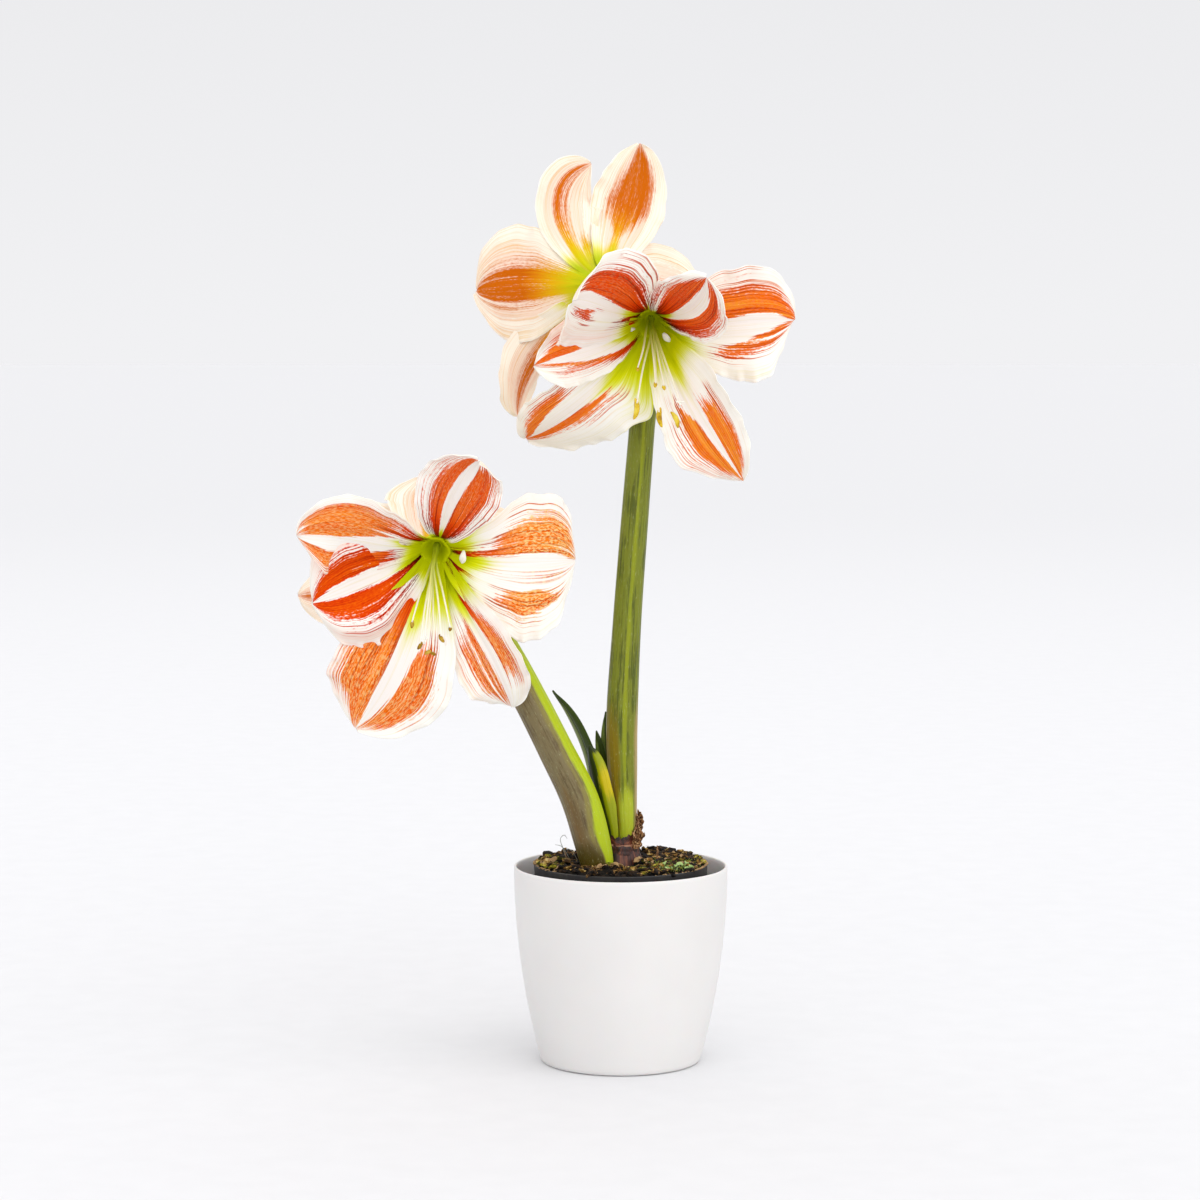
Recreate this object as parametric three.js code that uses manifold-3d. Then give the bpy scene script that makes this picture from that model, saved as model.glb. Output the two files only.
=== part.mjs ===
// An amaryllis in flower, in a black nursery pot that stands inside a white cover pot.
// Millimetres, +Z up. The origin is the centre of the cover pot's flat underside.
// One bulb carries two flower stems with two blooms each, and four short leaves.

import * as THREE from "three";
import { mergeVertices } from "three/addons/utils/BufferGeometryUtils.js";
import Module from "manifold-3d";

const wasm = await Module();
wasm.setup();

// ---- driving dimensions -------------------------------------------------------------------------

const GAP = 0.3; // clearance between neighbouring pieces
const POT_SIDES = 32;

// White cover pot: the side is nearly upright at the rim and curves in towards the foot.
const COVER_HEIGHT = 129;
const COVER_TOP_RADIUS = 70;
const COVER_FOOT_RADIUS = 52.4;
const COVER_WALL = 1.8;
const COVER_FLOOR = 3;

// Black nursery pot, standing on the cover pot's floor.
const NURSERY_TOP = 130.4;
const NURSERY_TOP_RADIUS = 57;
const NURSERY_FOOT_RADIUS = 42;
const NURSERY_WALL = 1;
const NURSERY_BASE = COVER_FLOOR + GAP;
const DRAIN_HOLES = 5;
const DRAIN_RADIUS = 4;
const DRAIN_RING = 27;

// Compost and bulb.
const SOIL_TOP = 130.6;
const SOIL_LUMP = 1;
const BULB_AXIS = [-1, 2];
const NECK_TOP = 149;
const NECK_RADIUS = 15.4;
const NECK_INSIDE = 12.8;
const NECK_FLOOR = 140.8;
const ROOTS = 6;
const ROOT_RADIUS = 2.4;

// Petals.
const PETAL_THICKNESS = 0.8;
const PETAL_ROWS = [0, 5, 10, 15, 20, 25, 30, 33, 36]; // steps along the midrib, closer at the tip
const PETAL_COLUMNS = 4;
const MIDRIB_STEPS = 36; // steps in which a midrib is summed up
const TUBE_OPENING = 20; // degrees between a claw and the bloom's axis
const CLAW_RADII = [6.2, 4.6]; // outer and inner whorl, from the bloom's axis
const WAVE_HEIGHT = 2.4;
const WAVE_COUNT = 2.3;

// Stamens and style.
const FILAMENT_RADIUS = 0.8;
const FILAMENT_REACH = 74; // forward from the tube
const FILAMENT_DROP = 37; // below the bloom's axis, at the anther
const FILAMENT_SPREAD = 13;
const ANTHER_LENGTH = 11;
const ANTHER_RADIUS = 1.5;
const STYLE_REACH = 92;
const STYLE_DROP = 10;

const LEAF_THICKNESS = 1.4;
const BRACT_THICKNESS = 0.8;

// A bloom's heading turns its face from -Y towards +X, and its pitch lifts the face. Each petal
// goes by its angle round the bloom's axis, and outer and inner petals take turns. A petal's
// opening is its angle to the axis at the tip, lean and hook bend it sideways along the blade and
// near the tip, and margins widen its clockwise and counter-clockwise half.
const PETAL_DEFAULTS = { lean: 0, twist: 0, cup: 0.3, curl: 0, hook: 0, margins: [1, 1] };

const BLOOMS = {
  upper_front: {
    base: [19, -22, 486],
    heading: 0,
    pitch: -22,
    ease: 0.9,
    drift: 3,
    petals: [
      { angle: 133, length: 112, opening: 58, half: 38, twist: -6, cup: 0, curl: -55, hook: 20,
        margins: [1.1, 1] },
      { angle: 48, length: 108, opening: 54, half: 27, lean: 20, twist: 30, cup: 0.4, hook: 20 },
      { angle: 9, length: 102, opening: 132, half: 39, twist: 8, cup: 0.1, hook: -25 },
      { angle: -53, length: 127, opening: 74, half: 30, twist: -30, cup: 0.5 },
      { angle: -129, length: 124, opening: 136, half: 35, lean: -24, twist: 30, cup: 0, curl: -10,
        hook: 10, margins: [0.85, 1] },
      { angle: -171, length: 97, opening: 74, half: 24, lean: -16, twist: -10, cup: 0.1, curl: -10,
        hook: 10, margins: [1.05, 0.85] },
    ],
  },
  upper_back: {
    base: [-11, 34, 508],
    heading: 199,
    pitch: -4,
    ease: 0.8,
    drift: 0,
    petals: [
      { angle: 124, length: 119, opening: 110, half: 26, lean: -16, cup: 0, hook: -20 },
      { angle: 65, length: 115, opening: 98, half: 24, lean: 32, cup: -0.3, curl: 10, hook: 75,
        margins: [0.7, 1.25] },
      { angle: 5, length: 97, opening: 60, half: 36, lean: -8, cup: 0.2, curl: -45,
        margins: [1.05, 1.2] },
      { angle: -53, length: 118, opening: 78, half: 22, lean: -6, twist: 30, cup: 0.9, hook: -35 },
      { angle: -118, length: 108, opening: 54, half: 30, hook: 15 },
      { angle: 180, length: 110, opening: 88, half: 34, lean: 4, hook: 10 },
    ],
  },
  lower_front: {
    base: [-117.4, -45, 342],
    heading: -8,
    pitch: -22,
    ease: 0.6,
    drift: 6,
    petals: [
      { angle: 68, length: 115, opening: 86, half: 28, twist: -8, cup: 0, curl: -55, hook: -20,
        margins: [1, 0.9] },
      { angle: -8, length: 101, opening: 150, half: 47, twist: 26, cup: 0, hook: -25,
        margins: [1.1, 1] },
      { angle: -58, length: 120, opening: 108, half: 25, lean: -8, cup: 0.5, curl: 10, hook: -20,
        margins: [1, 0.9] },
      { angle: -107, length: 134, opening: 102, half: 40, lean: -16, twist: 4, cup: 0.2, curl: -15,
        hook: -10 },
      { angle: -164, length: 80, opening: 83, half: 37, lean: -10, cup: 0.2, curl: 5,
        margins: [1.2, 1.05] },
      { angle: 143, length: 115, opening: 58, half: 40, cup: 0.4, hook: 50, margins: [1.1, 0.75] },
    ],
  },
  lower_back: {
    base: [-124, 36, 321.5],
    heading: 204,
    pitch: -8,
    ease: 0.8,
    drift: 0,
    petals: [
      { angle: -16, length: 105, opening: 50, half: 25, lean: 8, cup: 0.4, hook: 15 },
      { angle: 49, length: 106, opening: 46, half: 30 },
      { angle: 118, length: 106, opening: 56, half: 32, hook: -15 },
      { angle: 164, length: 106, opening: 98, half: 30 },
      { angle: -156, length: 106, opening: 78, half: 32, lean: 4, hook: 30 },
      { angle: -93, length: 103, opening: 62, half: 28, lean: 4, hook: 40 },
    ],
  },
};

// Stems: points along the centre line with the radius at each, from the bulb to the top.
const STEMS = {
  upright: {
    collar: 8.8,
    line: [
      [3.2, -1, 141.3, 4.2],
      [2.8, -1, 156, 7.2],
      [1.4, 0, 184, 9.3],
      [0.7, 0, 222, 10.3],
      [3.9, 2, 286, 9.5],
      [8.6, 4, 350, 9],
      [13.6, 7, 414, 8.4],
      [15.6, 7, 441, 8.6],
      [15.8, 7, 446, 6.4],
    ],
    blooms: ["upper_front", "upper_back"],
    bends: [
      [[17.5, 11, 462], [19, 11, 482]],
      [[12.5, 3, 464], [3, 3.5, 492]],
    ],
  },
  leaning: {
    collar: 11,
    line: [
      [-14, -20.5, 112, 8],
      [-15, -20, 130, 10.4],
      [-18.5, -20, 147, 11.8],
      [-27, -20, 176, 12.3],
      [-42, -20, 207, 11.7],
      [-57.5, -20, 238, 11.2],
      [-73.5, -18, 267.5, 10.8],
      [-87, -15, 290, 10],
      [-90, -14.6, 295, 7.4],
    ],
    blooms: ["lower_front", "lower_back"],
    bends: [
      [[-98, -13, 313], [-109, -10, 339]],
      [[-99, -8, 306], [-108, 0, 320]],
    ],
  },
};
const STEM_SIDES = 10;
const STEM_STEPS = 12;
const PEDICEL_RADIUS = 3.9;
const OVARY_LENGTH = 17;
const OVARY_RADIUS = 6;
const COLLAR_DROP = 9; // from the stem's end down to the middle of the bracts' collar
const COLLAR_HEIGHT = 5;

// Withered bracts below the blooms: the tip's place from the stem's end, and the half width.
const BRACTS = {
  upright: [
    { tip: [-24, 26, -8], half: 8 },
    { tip: [25, 24, -14], half: 7 },
  ],
  leaning: [
    { tip: [-12, 32, -16], half: 8 },
    { tip: [26, 18, 4], half: 7 },
  ],
};

// Leaves: spine from the bulb's neck to the tip, the way the keel faces in plan, the half width,
// the depth of the channel and how blunt the tip is.
const LEAVES = {
  leaf_1: {
    spine: [[-7.6, 2.4, 142], [-9.2, 3.2, 152], [-15.5, 6, 176], [-20.5, 7, 197], [-27.5, 7, 216],
      [-35, 6, 230], [-44.8, 5, 243.5]],
    keel: [-0.8, -0.6],
    half: 8,
    channel: 2,
    blunt: 3,
  },
  leaf_2: {
    spine: [[-5, -6.5, 142], [-6.6, -8, 153], [-11.4, -9.3, 173], [-15, -9.3, 190],
      [-18.4, -8.6, 202.5], [-20.8, -8, 209]],
    keel: [-0.4, -0.92],
    half: 7,
    channel: 2.6,
    blunt: 7,
  },
  leaf_3: {
    spine: [[-3.2, 6.2, 142], [-5.5, 7.4, 152], [-9.7, 9.6, 178], [-13.6, 9.8, 204],
      [-16, 9.6, 216.5]],
    keel: [-0.1, -1],
    half: 5,
    channel: 1.2,
    blunt: 4,
  },
  leaf_4: {
    spine: [[1.5, 9.5, 142], [0.5, 11.4, 152], [-5.5, 14.5, 184], [-9.5, 15, 210], [-9.8, 15, 228.5]],
    keel: [0, -1],
    half: 6,
    channel: 1,
    blunt: 3,
  },
};
const LEAF_ROWS = 8;
const LEAF_COLUMNS = 4;

// Colour, roughness and metalness of each finish.
const FINISHES = {
  white_pot: { color: 0xf0efee, roughness: 0.45, metalness: 0 },
  black_pot: { color: 0x232326, roughness: 0.5, metalness: 0 },
  compost: { color: 0x3a2a1e, roughness: 0.95, metalness: 0 },
  bulb_scale: { color: 0x7a4630, roughness: 0.7, metalness: 0 },
  stem_green: { color: 0x8c8f3e, roughness: 0.45, metalness: 0 },
  leaf_green: { color: 0x4f6d2c, roughness: 0.4, metalness: 0 },
  dry_bract: { color: 0xc8a67a, roughness: 0.85, metalness: 0 },
  petal: { color: 0xf3d9c6, roughness: 0.55, metalness: 0 },
  stamen: { color: 0xe9e3b0, roughness: 0.6, metalness: 0 },
};

// ---- solids -------------------------------------------------------------------------------------

// A closed geometry as a manifold-3d solid, from its positions alone.
function solidOf(geometry) {
  const bare = new THREE.BufferGeometry();
  const loose = geometry.index ? geometry.toNonIndexed() : geometry;
  bare.setAttribute("position", loose.getAttribute("position"));
  const merged = mergeVertices(bare, 1e-4);
  const kept = [];
  const index = merged.index.array;
  for (let i = 0; i < index.length; i += 3) {
    const [a, b, c] = index.subarray(i, i + 3);
    if (a !== b && b !== c && a !== c) kept.push(a, b, c);
  }
  return new wasm.Manifold(
    new wasm.Mesh({
      numProp: 3,
      vertProperties: merged.getAttribute("position").array,
      triVerts: new Uint32Array(kept),
    }),
  );
}

function geometryOf(solid) {
  const mesh = solid.getMesh();
  const geometry = new THREE.BufferGeometry();
  geometry.setAttribute("position", new THREE.BufferAttribute(mesh.vertProperties, 3));
  geometry.setIndex(new THREE.BufferAttribute(mesh.triVerts, 1));
  return geometry;
}

const joined = (solids) => solids.reduce((all, one) => all.add(one));

// A profile of [radius, height] points turned about the Z axis.
function turned(profile, segments) {
  const points = profile.map(([radius, height]) => new THREE.Vector2(radius, height));
  return new THREE.LatheGeometry(points, segments).rotateX(Math.PI / 2);
}

// A geometry made along +Z, stood along a direction with its origin at a point.
function stoodAlong(geometry, direction, point) {
  const upright = new THREE.Vector3(0, 0, 1);
  return geometry
    .applyQuaternion(new THREE.Quaternion().setFromUnitVectors(upright, direction))
    .translate(...point);
}

function eachVertex(geometry, change) {
  const position = geometry.getAttribute("position");
  const vertex = new THREE.Vector3();
  for (let i = 0; i < position.count; i++) {
    change(vertex.fromBufferAttribute(position, i));
    position.setXYZ(i, vertex.x, vertex.y, vertex.z);
  }
  return geometry;
}

// A round rod bent along a line of [x, y, z, radius] stations, with flat ends.
function rod(stations, sides, steps) {
  const curve = new THREE.CatmullRomCurve3(stations.map(([x, y, z]) => new THREE.Vector3(x, y, z)));
  const frames = curve.computeFrenetFrames(steps);
  const radiusAt = (share) => {
    const place = curve.getUtoTmapping(share) * (stations.length - 1);
    const before = Math.min(Math.floor(place), stations.length - 2);
    return THREE.MathUtils.lerp(stations[before][3], stations[before + 1][3], place - before);
  };
  const straight = new THREE.CylinderGeometry(1, 1, 1, sides, steps).rotateX(Math.PI / 2);
  return eachVertex(straight, (vertex) => {
    const row = Math.round((vertex.z + 0.5) * steps);
    const radius = radiusAt(row / steps);
    const { x, y } = vertex;
    vertex
      .copy(curve.getPointAt(row / steps))
      .addScaledVector(frames.normals[row], x * radius)
      .addScaledVector(frames.binormals[row], y * radius);
  });
}

// A thin blade through a grid of points, its rows along the blade and its columns across. Both
// faces are split into the same triangles.
function blade(grid, thickness) {
  const rows = grid.length;
  const columns = grid[0].length;
  const step = (list, i) => [list[Math.max(i - 1, 0)], list[Math.min(i + 1, list.length - 1)]];
  const positions = [];
  for (const side of [1, -1]) {
    for (let row = 0; row < rows; row++) {
      for (let column = 0; column < columns; column++) {
        const [below, above] = step(grid, row).map((line) => line[column]);
        const [left, right] = step(grid[row], column);
        const normal = right.clone().sub(left).cross(above.clone().sub(below)).normalize();
        const point = grid[row][column].clone().addScaledVector(normal, (side * thickness) / 2);
        positions.push(point.x, point.y, point.z);
      }
    }
  }
  const front = (row, column) => row * columns + column;
  const back = (row, column) => rows * columns + front(row, column);
  const triangles = [];
  for (let row = 0; row < rows - 1; row++) {
    for (let column = 0; column < columns - 1; column++) {
      const corners = [[row, column], [row, column + 1], [row + 1, column + 1], [row + 1, column]];
      const [a, b, c, d] = corners.map(([r, k]) => front(r, k));
      const [e, f, g, h] = corners.map(([r, k]) => back(r, k));
      triangles.push(a, b, c, a, c, d, e, g, f, e, h, g);
    }
  }
  const rim = [];
  for (let column = 0; column < columns - 1; column++) rim.push([0, column]);
  for (let row = 0; row < rows - 1; row++) rim.push([row, columns - 1]);
  for (let column = columns - 1; column > 0; column--) rim.push([rows - 1, column]);
  for (let row = rows - 1; row > 0; row--) rim.push([row, 0]);
  rim.forEach((here, i) => {
    const next = rim[(i + 1) % rim.length];
    const [a, b, c, d] = [front(...here), front(...next), back(...next), back(...here)];
    triangles.push(a, c, b, a, d, c);
  });
  const geometry = new THREE.BufferGeometry();
  geometry.setAttribute("position", new THREE.Float32BufferAttribute(positions, 3));
  geometry.setIndex(triangles);
  return geometry;
}

// ---- pots ---------------------------------------------------------------------------------------

const coverRadius = (height) =>
  COVER_TOP_RADIUS -
  (COVER_TOP_RADIUS - COVER_FOOT_RADIUS) * (1 - height / COVER_HEIGHT) ** 2;

function coverPot() {
  const heights = [8, 22, 40, 62, 90];
  const inside = [90, 50, 22].map((z) => [coverRadius(z) - COVER_WALL, z]);
  return turned(
    [
      [0, 0],
      [COVER_FOOT_RADIUS - 1.5, 0],
      [coverRadius(1.5), 1.5],
      ...heights.map((z) => [coverRadius(z), z]),
      [COVER_TOP_RADIUS, COVER_HEIGHT - 0.7],
      [COVER_TOP_RADIUS - COVER_WALL / 2, COVER_HEIGHT],
      [COVER_TOP_RADIUS - COVER_WALL, COVER_HEIGHT - 0.7],
      ...inside,
      [coverRadius(COVER_FLOOR) - COVER_WALL - 1, COVER_FLOOR],
      [0, COVER_FLOOR],
    ],
    POT_SIDES,
  );
}

const nurseryRadius = (height) =>
  THREE.MathUtils.mapLinear(
    height,
    NURSERY_BASE,
    NURSERY_TOP,
    NURSERY_FOOT_RADIUS,
    NURSERY_TOP_RADIUS - 1.6,
  );

// A thin tapered pot with a turned-out rim and a ring of drain holes in its floor.
function nurseryPot() {
  const rimFoot = NURSERY_TOP - 9;
  const floorTop = NURSERY_BASE + 1.4;
  const shell = solidOf(
    turned(
      [
        [0, NURSERY_BASE],
        [nurseryRadius(NURSERY_BASE), NURSERY_BASE],
        [nurseryRadius(rimFoot), rimFoot],
        [NURSERY_TOP_RADIUS - 0.4, rimFoot + 0.6],
        [NURSERY_TOP_RADIUS, NURSERY_TOP - 0.5],
        [NURSERY_TOP_RADIUS - 0.7, NURSERY_TOP],
        [NURSERY_TOP_RADIUS - 1.5, NURSERY_TOP - 0.5],
        [nurseryRadius(rimFoot) - NURSERY_WALL, rimFoot - 1],
        [nurseryRadius(floorTop) - NURSERY_WALL, floorTop],
        [0, floorTop],
      ],
      POT_SIDES,
    ),
  );
  const drains = Array.from({ length: DRAIN_HOLES }, (_, i) => {
    const angle = (i * 2 * Math.PI) / DRAIN_HOLES;
    const hole = new THREE.CylinderGeometry(DRAIN_RADIUS, DRAIN_RADIUS, 6, 10);
    hole.rotateX(Math.PI / 2);
    hole.translate(DRAIN_RING * Math.cos(angle), DRAIN_RING * Math.sin(angle), NURSERY_BASE + 1);
    return solidOf(hole);
  });
  return drains.reduce((pot, hole) => pot.subtract(hole), shell);
}

// ---- bulb and compost ---------------------------------------------------------------------------

// The bulb with its fleshy roots. With room above 0 it is the hollow that they fill.
function bulbBody(room) {
  const below = [[30, 4], [36, 19], [47, 32], [65, 38.5]];
  const shoulder = [[84, 38], [101, 31.5], [113, 23], [123, 17.5], [132, NECK_RADIUS]];
  const side = [
    ...below.map(([z, radius]) => [radius + room, z - room]),
    ...shoulder.map(([z, radius]) => [radius + room, z + room]),
  ];
  const neck = room
    ? [[NECK_RADIUS + room, NECK_TOP], [0, NECK_TOP]]
    : [
        [NECK_RADIUS - 0.3, NECK_TOP - 2],
        [NECK_RADIUS - 1.4, NECK_TOP],
        [NECK_INSIDE, NECK_TOP - 1],
        [NECK_INSIDE - 0.4, NECK_FLOOR],
        [0, NECK_FLOOR],
      ];
  const body = turned([[0, 29.4 - room], ...side, ...neck], 16);
  // The torn edge of the outer scales stands higher towards the left and the right than in front.
  eachVertex(body, (vertex) => {
    const height = Math.max(0, vertex.z - NECK_FLOOR) / (NECK_TOP - NECK_FLOOR);
    const turn = Math.atan2(vertex.y, vertex.x);
    if (!room) vertex.z += height * (1.8 * Math.cos(2 * turn) + 0.8 * Math.sin(5 * turn));
  });
  body.translate(BULB_AXIS[0], BULB_AXIS[1], 0);
  const roots = Array.from({ length: ROOTS }, (_, i) => {
    const turn = (i * 2 * Math.PI) / ROOTS + 0.4;
    const at = (radius, z, thick) => [
      BULB_AXIS[0] + radius * Math.cos(turn + z / 90),
      BULB_AXIS[1] + radius * Math.sin(turn + z / 90),
      z,
      thick + 2.4 * room,
    ];
    const line = [
      at(9, 36, ROOT_RADIUS + 0.6),
      at(17, 28, ROOT_RADIUS),
      at(29, 20, ROOT_RADIUS),
      at(34, 10 - 1.5 * room, 1.4),
    ];
    return solidOf(rod(line, 4, 4));
  });
  return joined([solidOf(body), ...roots]);
}

// A loose papery scale, still standing beside the upright stem.
function dryScale() {
  const foot = new THREE.Vector3(12.3, 1, 142);
  const grid = [0, 0.25, 0.5, 0.75, 1].map((s) =>
    [-1, -0.33, 0.33, 1].map((t) => {
      const half = 5 * (1 - 0.55 * s);
      const crumple = 1.3 * Math.sin(9 * s + 2.2 * t);
      return new THREE.Vector3(foot.x + 2.4 * s + crumple * s, foot.y + t * half, foot.z + 21 * s);
    }),
  );
  return blade(grid, 0.9);
}

function bulb(socket) {
  return joined([bulbBody(0), solidOf(dryScale())]).subtract(socket);
}

// The compost fills the nursery pot and lies in lumps on top, with plain holes for what stands in it.
function compost(socket) {
  const bottom = NURSERY_BASE + 1.4 + GAP;
  const inside = (z) => (nurseryRadius(z) - NURSERY_WALL) * Math.cos(Math.PI / POT_SIDES) - GAP;
  const surface = [0, 20, 29, 37, 45, 51].map((radius) => [radius, SOIL_TOP]);
  const heap = turned(
    [
      [0, bottom],
      [inside(bottom), bottom],
      [inside(118), 118],
      [inside(118) - 0.4, SOIL_TOP - 2.4],
      ...surface.reverse(),
    ],
    20,
  );
  eachVertex(heap, (vertex) => {
    if (vertex.z < SOIL_TOP - 0.1) return;
    const lump =
      Math.sin(0.31 * vertex.x + 1) * Math.cos(0.27 * vertex.y) +
      0.6 * Math.sin(0.83 * vertex.x + 0.61 * vertex.y) +
      0.5 * Math.cos(0.71 * vertex.y - 0.9 * vertex.x);
    vertex.z += SOIL_LUMP * lump;
  });
  return solidOf(heap).subtract(bulbBody(GAP)).subtract(socket);
}

// ---- stems --------------------------------------------------------------------------------------

// A bloom's forward, up and right directions.
function bloomAxes({ heading, pitch }) {
  const [turn, lift] = [heading, pitch].map(THREE.MathUtils.degToRad);
  const forward = new THREE.Vector3(
    Math.sin(turn) * Math.cos(lift),
    -Math.cos(turn) * Math.cos(lift),
    Math.sin(lift),
  );
  const up = new THREE.Vector3(0, 0, 1).addScaledVector(forward, -forward.z).normalize();
  return { forward, up, right: new THREE.Vector3().crossVectors(up, forward) };
}

// The point at these distances forward, up and right of a bloom's base.
function inBloom(bloom, ahead, above, across) {
  const { forward, up, right } = bloomAxes(bloom);
  return new THREE.Vector3(...bloom.base)
    .addScaledVector(forward, ahead)
    .addScaledVector(up, above)
    .addScaledVector(right, across);
}

// A flower stalk from the stem's end round its bends to the swollen ovary behind the bloom.
function pedicel(stemEnd, bends, bloom) {
  const tube = -2 - GAP - 0.1; // the ovary's end, just behind the perianth tube
  const behind = (back) => inBloom(bloom, tube - back, 0, 0).toArray();
  const line = [
    [stemEnd[0], stemEnd[1], stemEnd[2] - 5, PEDICEL_RADIUS],
    ...bends.map((point) => [...point, PEDICEL_RADIUS]),
    [...behind(OVARY_LENGTH), PEDICEL_RADIUS + 0.3],
    [...behind(OVARY_LENGTH * 0.62), OVARY_RADIUS],
    [...behind(OVARY_LENGTH * 0.28), OVARY_RADIUS],
    [...behind(0), OVARY_RADIUS - 1.4],
  ];
  return solidOf(rod(line, 7, 10));
}

function stem({ line, blooms, bends }) {
  const end = line[line.length - 1];
  const stalks = blooms.map((name, i) => pedicel(end, bends[i], BLOOMS[name]));
  return joined([solidOf(rod(line, STEM_SIDES, STEM_STEPS)), ...stalks]);
}

// The room that a stem's foot takes in the compost and in the bulb's shoulder.
function stemSocket({ line }) {
  const foot = line.map(([x, y, z, radius]) => [x, y, z, radius + 1.2 * GAP]);
  foot[0][2] -= 1.2 * GAP;
  return solidOf(rod(foot, STEM_SIDES, STEM_STEPS));
}

// Two papery bracts that hang from a collar round the stem's end.
function bracts({ line, collar: inner }, pair) {
  const [top, below] = [line.length - 1, line.length - 3].map(
    (i) => new THREE.Vector3(...line[i].slice(0, 3)),
  );
  const along = top.clone().sub(below).normalize();
  const middle = top.clone().addScaledVector(along, -COLLAR_DROP);
  const ring = turned(
    [
      [inner, -COLLAR_HEIGHT / 2],
      [inner + 1, -COLLAR_HEIGHT / 2],
      [inner + 1.2, COLLAR_HEIGHT / 2],
      [inner + 0.2, COLLAR_HEIGHT / 2],
      [inner, -COLLAR_HEIGHT / 2],
    ],
    8,
  );
  const sheets = pair.map(({ tip, half }) => {
    const reach = new THREE.Vector3(...tip);
    const outward = reach.clone().addScaledVector(along, -reach.dot(along)).normalize();
    const across = new THREE.Vector3().crossVectors(along, outward);
    const root = middle.clone().addScaledVector(outward, inner + 0.7);
    const end = top.clone().add(reach);
    const grid = [0, 0.25, 0.5, 0.75, 1].map((s) =>
      [-1, 0, 1].map((t) => {
        const width = half * (1 - 0.85 * s ** 2) * (s ? 1 : 0.6);
        const sag = 9 * Math.sin(Math.PI * s);
        return root
          .clone()
          .lerp(end, s)
          .addScaledVector(across, t * width)
          .addScaledVector(along, sag - 2.5 * t * t * (1 - s) + Math.sin(7 * s + 2 * t) * s)
          .addScaledVector(outward, -0.35 * half * t * t * (1 - s));
      }),
    );
    return solidOf(blade(grid, BRACT_THICKNESS));
  });
  return joined([solidOf(stoodAlong(ring, along, middle)), ...sheets]);
}

// ---- leaves -------------------------------------------------------------------------------------

function leaf({ spine, keel, half, channel, blunt }) {
  const curve = new THREE.CatmullRomCurve3(spine.map((point) => new THREE.Vector3(...point)));
  const outward = new THREE.Vector3(keel[0], keel[1], 0).normalize();
  const grid = [];
  for (let row = 0; row <= LEAF_ROWS; row++) {
    const s = row / LEAF_ROWS;
    const along = curve.getTangentAt(s);
    const facing = outward.clone().addScaledVector(along, -outward.dot(along)).normalize();
    const across = new THREE.Vector3().crossVectors(facing, along);
    const width = half * Math.min(1, 0.42 + 1.5 * s) * Math.max(0.1, 1 - s ** blunt) ** 0.75;
    const line = [];
    for (let column = 0; column <= LEAF_COLUMNS; column++) {
      const t = (2 * column) / LEAF_COLUMNS - 1;
      line.push(
        curve
          .getPointAt(s)
          .addScaledVector(across, t * width)
          .addScaledVector(facing, (-channel * t * t * width) / half),
      );
    }
    grid.push(line);
  }
  return blade(grid, LEAF_THICKNESS);
}

// ---- blooms -------------------------------------------------------------------------------------

const share = (value, from, to) => THREE.MathUtils.clamp((value - from) / (to - from), 0, 1);

// The petal's half width along its length: a narrow claw, widest past the middle, a pointed tip.
const petalOutline = (s) =>
  0.12 * (1 - s) ** 6 + Math.sin(Math.PI * Math.min(s, 0.999) ** 1.7) ** 0.6;

// The midrib as rows of place, direction across and direction of the inner face.
function midrib(bloom, petal, clawRadius) {
  const { forward, up, right } = bloomAxes(bloom);
  const degrees = THREE.MathUtils.degToRad;
  const mix = (a, b, angle) =>
    a.clone().multiplyScalar(Math.cos(angle)).addScaledVector(b, Math.sin(angle));
  const out = mix(right, up, degrees(petal.angle));
  const side = mix(up, right.clone().negate(), degrees(petal.angle));
  const at = new THREE.Vector3(...bloom.base).addScaledVector(out, clawRadius);
  const rows = [];
  let before = null;
  for (let i = 0; i <= MIDRIB_STEPS; i++) {
    const s = i / MIDRIB_STEPS;
    const opening =
      TUBE_OPENING +
      (petal.opening - TUBE_OPENING) * s ** bloom.ease +
      petal.curl * share(s, 0.7, 1) ** 2;
    const sweep = petal.lean * s ** 1.5 + petal.hook * share(s, 0.45, 1) ** 1.5;
    const spoke = mix(out, side, degrees(sweep));
    const flank = mix(side, out.clone().negate(), degrees(sweep));
    const along = mix(forward, spoke, degrees(opening));
    const face = mix(spoke.clone().negate(), forward, degrees(opening));
    if (before) at.addScaledVector(before.add(along), petal.length / MIDRIB_STEPS / 2);
    const turn = degrees(petal.twist * s ** 1.3);
    const fromBase = at.clone().sub(new THREE.Vector3(...bloom.base));
    rows.push({
      s,
      at: at.clone(),
      across: mix(flank, face.clone().negate(), turn),
      normal: mix(face, flank, turn),
      reach: fromBase.addScaledVector(forward, -fromBase.dot(forward)).length(),
    });
    before = along;
  }
  return rows;
}

// A point of the petal at t from -1 to 1 across its blade: cupped like the tube at the claw, then
// by the petal's own cup, with waves that grow towards the margin.
function petalPoint(row, t, petal, phase) {
  const { s, at, across, normal, reach } = row;
  const half = Math.min(petal.half * petalOutline(s), reach);
  const open = THREE.MathUtils.smoothstep(s, 0.12, 0.52);
  const bend = (1 - open) / reach + (open * petal.cup) / petal.half + 1e-6;
  const arc = t * half * petal.margins[t > 0 ? 1 : 0];
  const wave =
    WAVE_HEIGHT *
    Math.abs(t) ** 2.5 *
    share(s, 0.25, 0.55) *
    Math.sin(2 * Math.PI * WAVE_COUNT * s + phase + (t > 0 ? 1.7 : 0));
  return at
    .clone()
    .addScaledVector(across, Math.sin(bend * arc) / bend)
    .addScaledVector(normal, (1 - Math.cos(bend * arc)) / bend + wave);
}

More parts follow.
